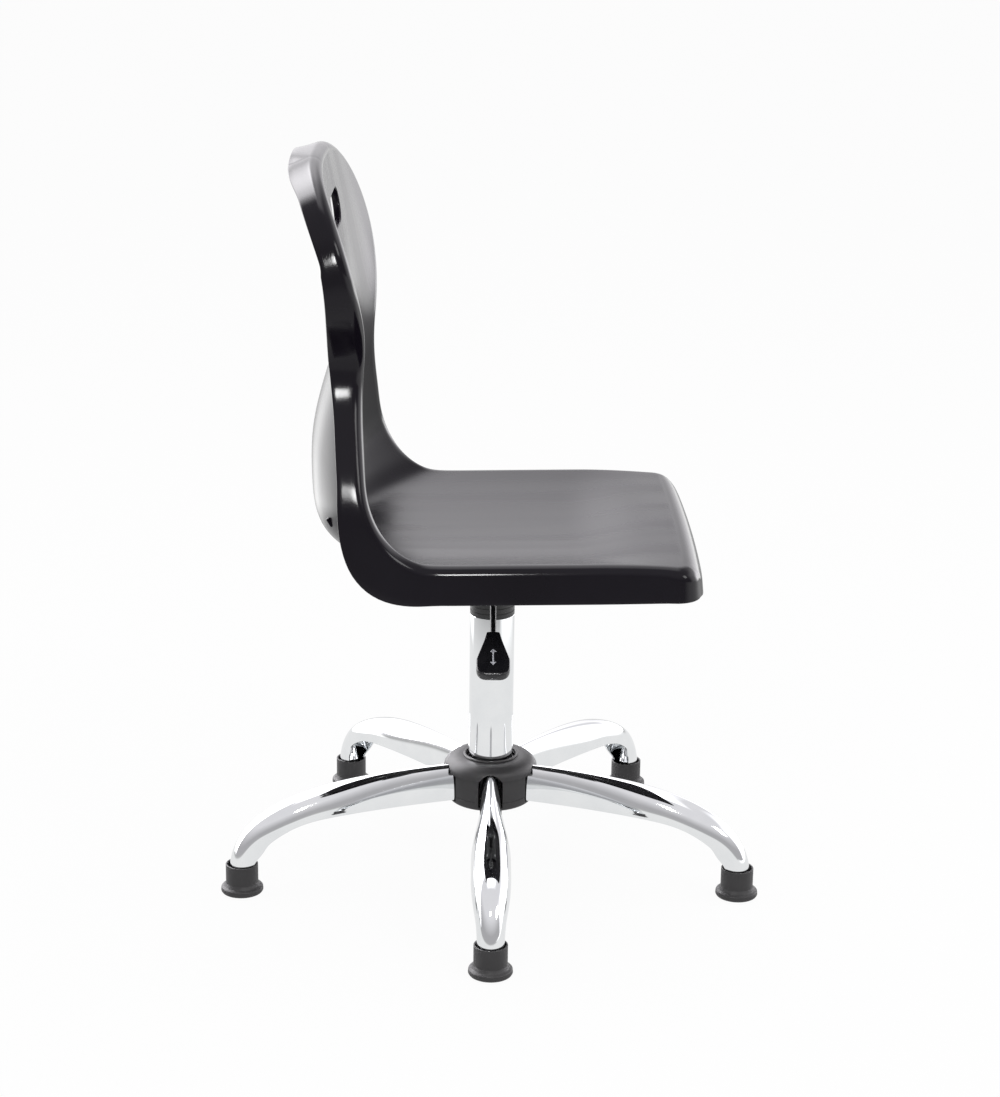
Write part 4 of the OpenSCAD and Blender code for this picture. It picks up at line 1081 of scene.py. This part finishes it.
def make_world():
    """White all round. In gloss the room behind the camera is dim low down, and brighter panels stand far
    behind the chair to its right, left and above."""
    world = bpy.data.worlds.new("studio")
    world.use_nodes = True
    bpy.context.scene.world = world
    f = Finish("studio", world.node_tree)
    x, y, z = f.axes(f.node("ShaderNodeTexCoord", out="Generated"))
    room = y.ramp(-0.05, 0.35, 1.0, 0.0) * z.ramp(0.2, 0.65, 1.0, 0.0)
    right = right_panel(x) * z.ramp(0.08, 0.3, 1.0, 0.0)
    left = x.ramp(-0.4, -0.18, 3.2, 0.0) * z.ramp(0.2, 0.4, 1.0, 0.0)
    far = y.ramp(-0.3, 0.0) * x.ramp(0.45, 0.8, 0.0, 2.0) * z.ramp(0.5, 0.75, 1.0, 0.0)
    steep = z / y.maths("SQRT", y * y + z * z)
    corner = steep.ramp(0.3, 0.75, 0.0, 12.0) * steep.ramp(0.86, 0.97, 1.0, 0.0)
    corner = corner * x.ramp(-0.22, -0.12, 1.0, 0.0)
    sky = z.ramp(-0.05, 0.35, 0.0, 0.8) + z.ramp(0.35, 0.6, 0.0, 1.4) + x.ramp(-0.13, -0.02, 0.5, 0.0)
    sky = sky * x.ramp(0.1, 0.35, 1.0, 0.0) * x.ramp(-0.3, -0.15)
    front = y.ramp(-0.05, 0.15) * (corner + sky)
    mirrored = 0.85 - room * 0.38 + y.ramp(0.25, 0.55) * (right + left) + far + front
    ambient = 0.55
    plain = ambient + (f.ray("Camera") + f.ray("Transmission")).ramp(0, 1, 0, 1 - ambient)
    level = plain + f.ray("Glossy") * (mirrored - ambient)
    studio = f.node("ShaderNodeBackground", None, {"Color": shade(0.985, 0.97, 1.0), "Strength": level})
    f.node("ShaderNodeOutputWorld", None, {"Surface": studio})


def softbox(name, place, target, size, power, mirrored=True, lights=True):
    """A lamp that faces its target and may be left out of what gloss mirrors or of what lights matt faces."""
    data = bpy.data.lights.new(name, "AREA")
    data.shape = "RECTANGLE"
    data.size, data.size_y = size
    data.energy = power
    lamp = placed(name, data)
    lamp.visible_camera = False
    lamp.visible_glossy = mirrored
    lamp.visible_diffuse = lights
    way = Vector(target) - Vector(place)
    lamp.matrix_world = Matrix.Translation(place) @ way.to_track_quat("-Z", "Y").to_matrix().to_4x4()


def make_camera():
    """The photograph's view: 16.5 degrees down on the chair's right side, a long lens, a slight roll."""
    heading, tilt, roll = math.radians(0.7), 0.2882, 0.0135
    right, back, height = 0.0076, -2.603, 1.148
    c, s = math.cos(heading), math.sin(heading)
    place = Vector((c * right + s * back, -s * right + c * back + axis_y * MM, height))
    data = bpy.data.cameras.new("photo_camera")
    data.sensor_fit = "HORIZONTAL"
    data.sensor_width = 36
    data.lens = 87.84
    camera = placed("photo_camera", data)
    turn = Matrix.Rotation(-heading, 4, "Z") @ Matrix.Rotation(math.pi / 2 - tilt, 4, "X")
    camera.matrix_world = Matrix.Translation(place) @ turn @ Matrix.Rotation(roll, 4, "Z")
    bpy.context.scene.camera = camera


make_stage()
make_world()
softbox("key_softbox", (-1.1, -2.4, 2.1), (0, 0, 0.5), (0.9, 1.2), 20, mirrored=False)
softbox("fill_softbox", (2.2, -1.7, 2.2), (0, 0, 0.4), (0.9, 0.9), 18)
softbox("top_softbox", (0.2, 0.6, 3.2), (0, 0, 0.4), (2.4, 2.0), 40, mirrored=False)
softbox("small_softbox", (-0.05, -0.89, 0.834), (-0.15, -0.175, 0.49), (0.1, 0.13), 3, lights=False)
make_camera()
bpy.context.scene.view_settings.view_transform = "Standard"
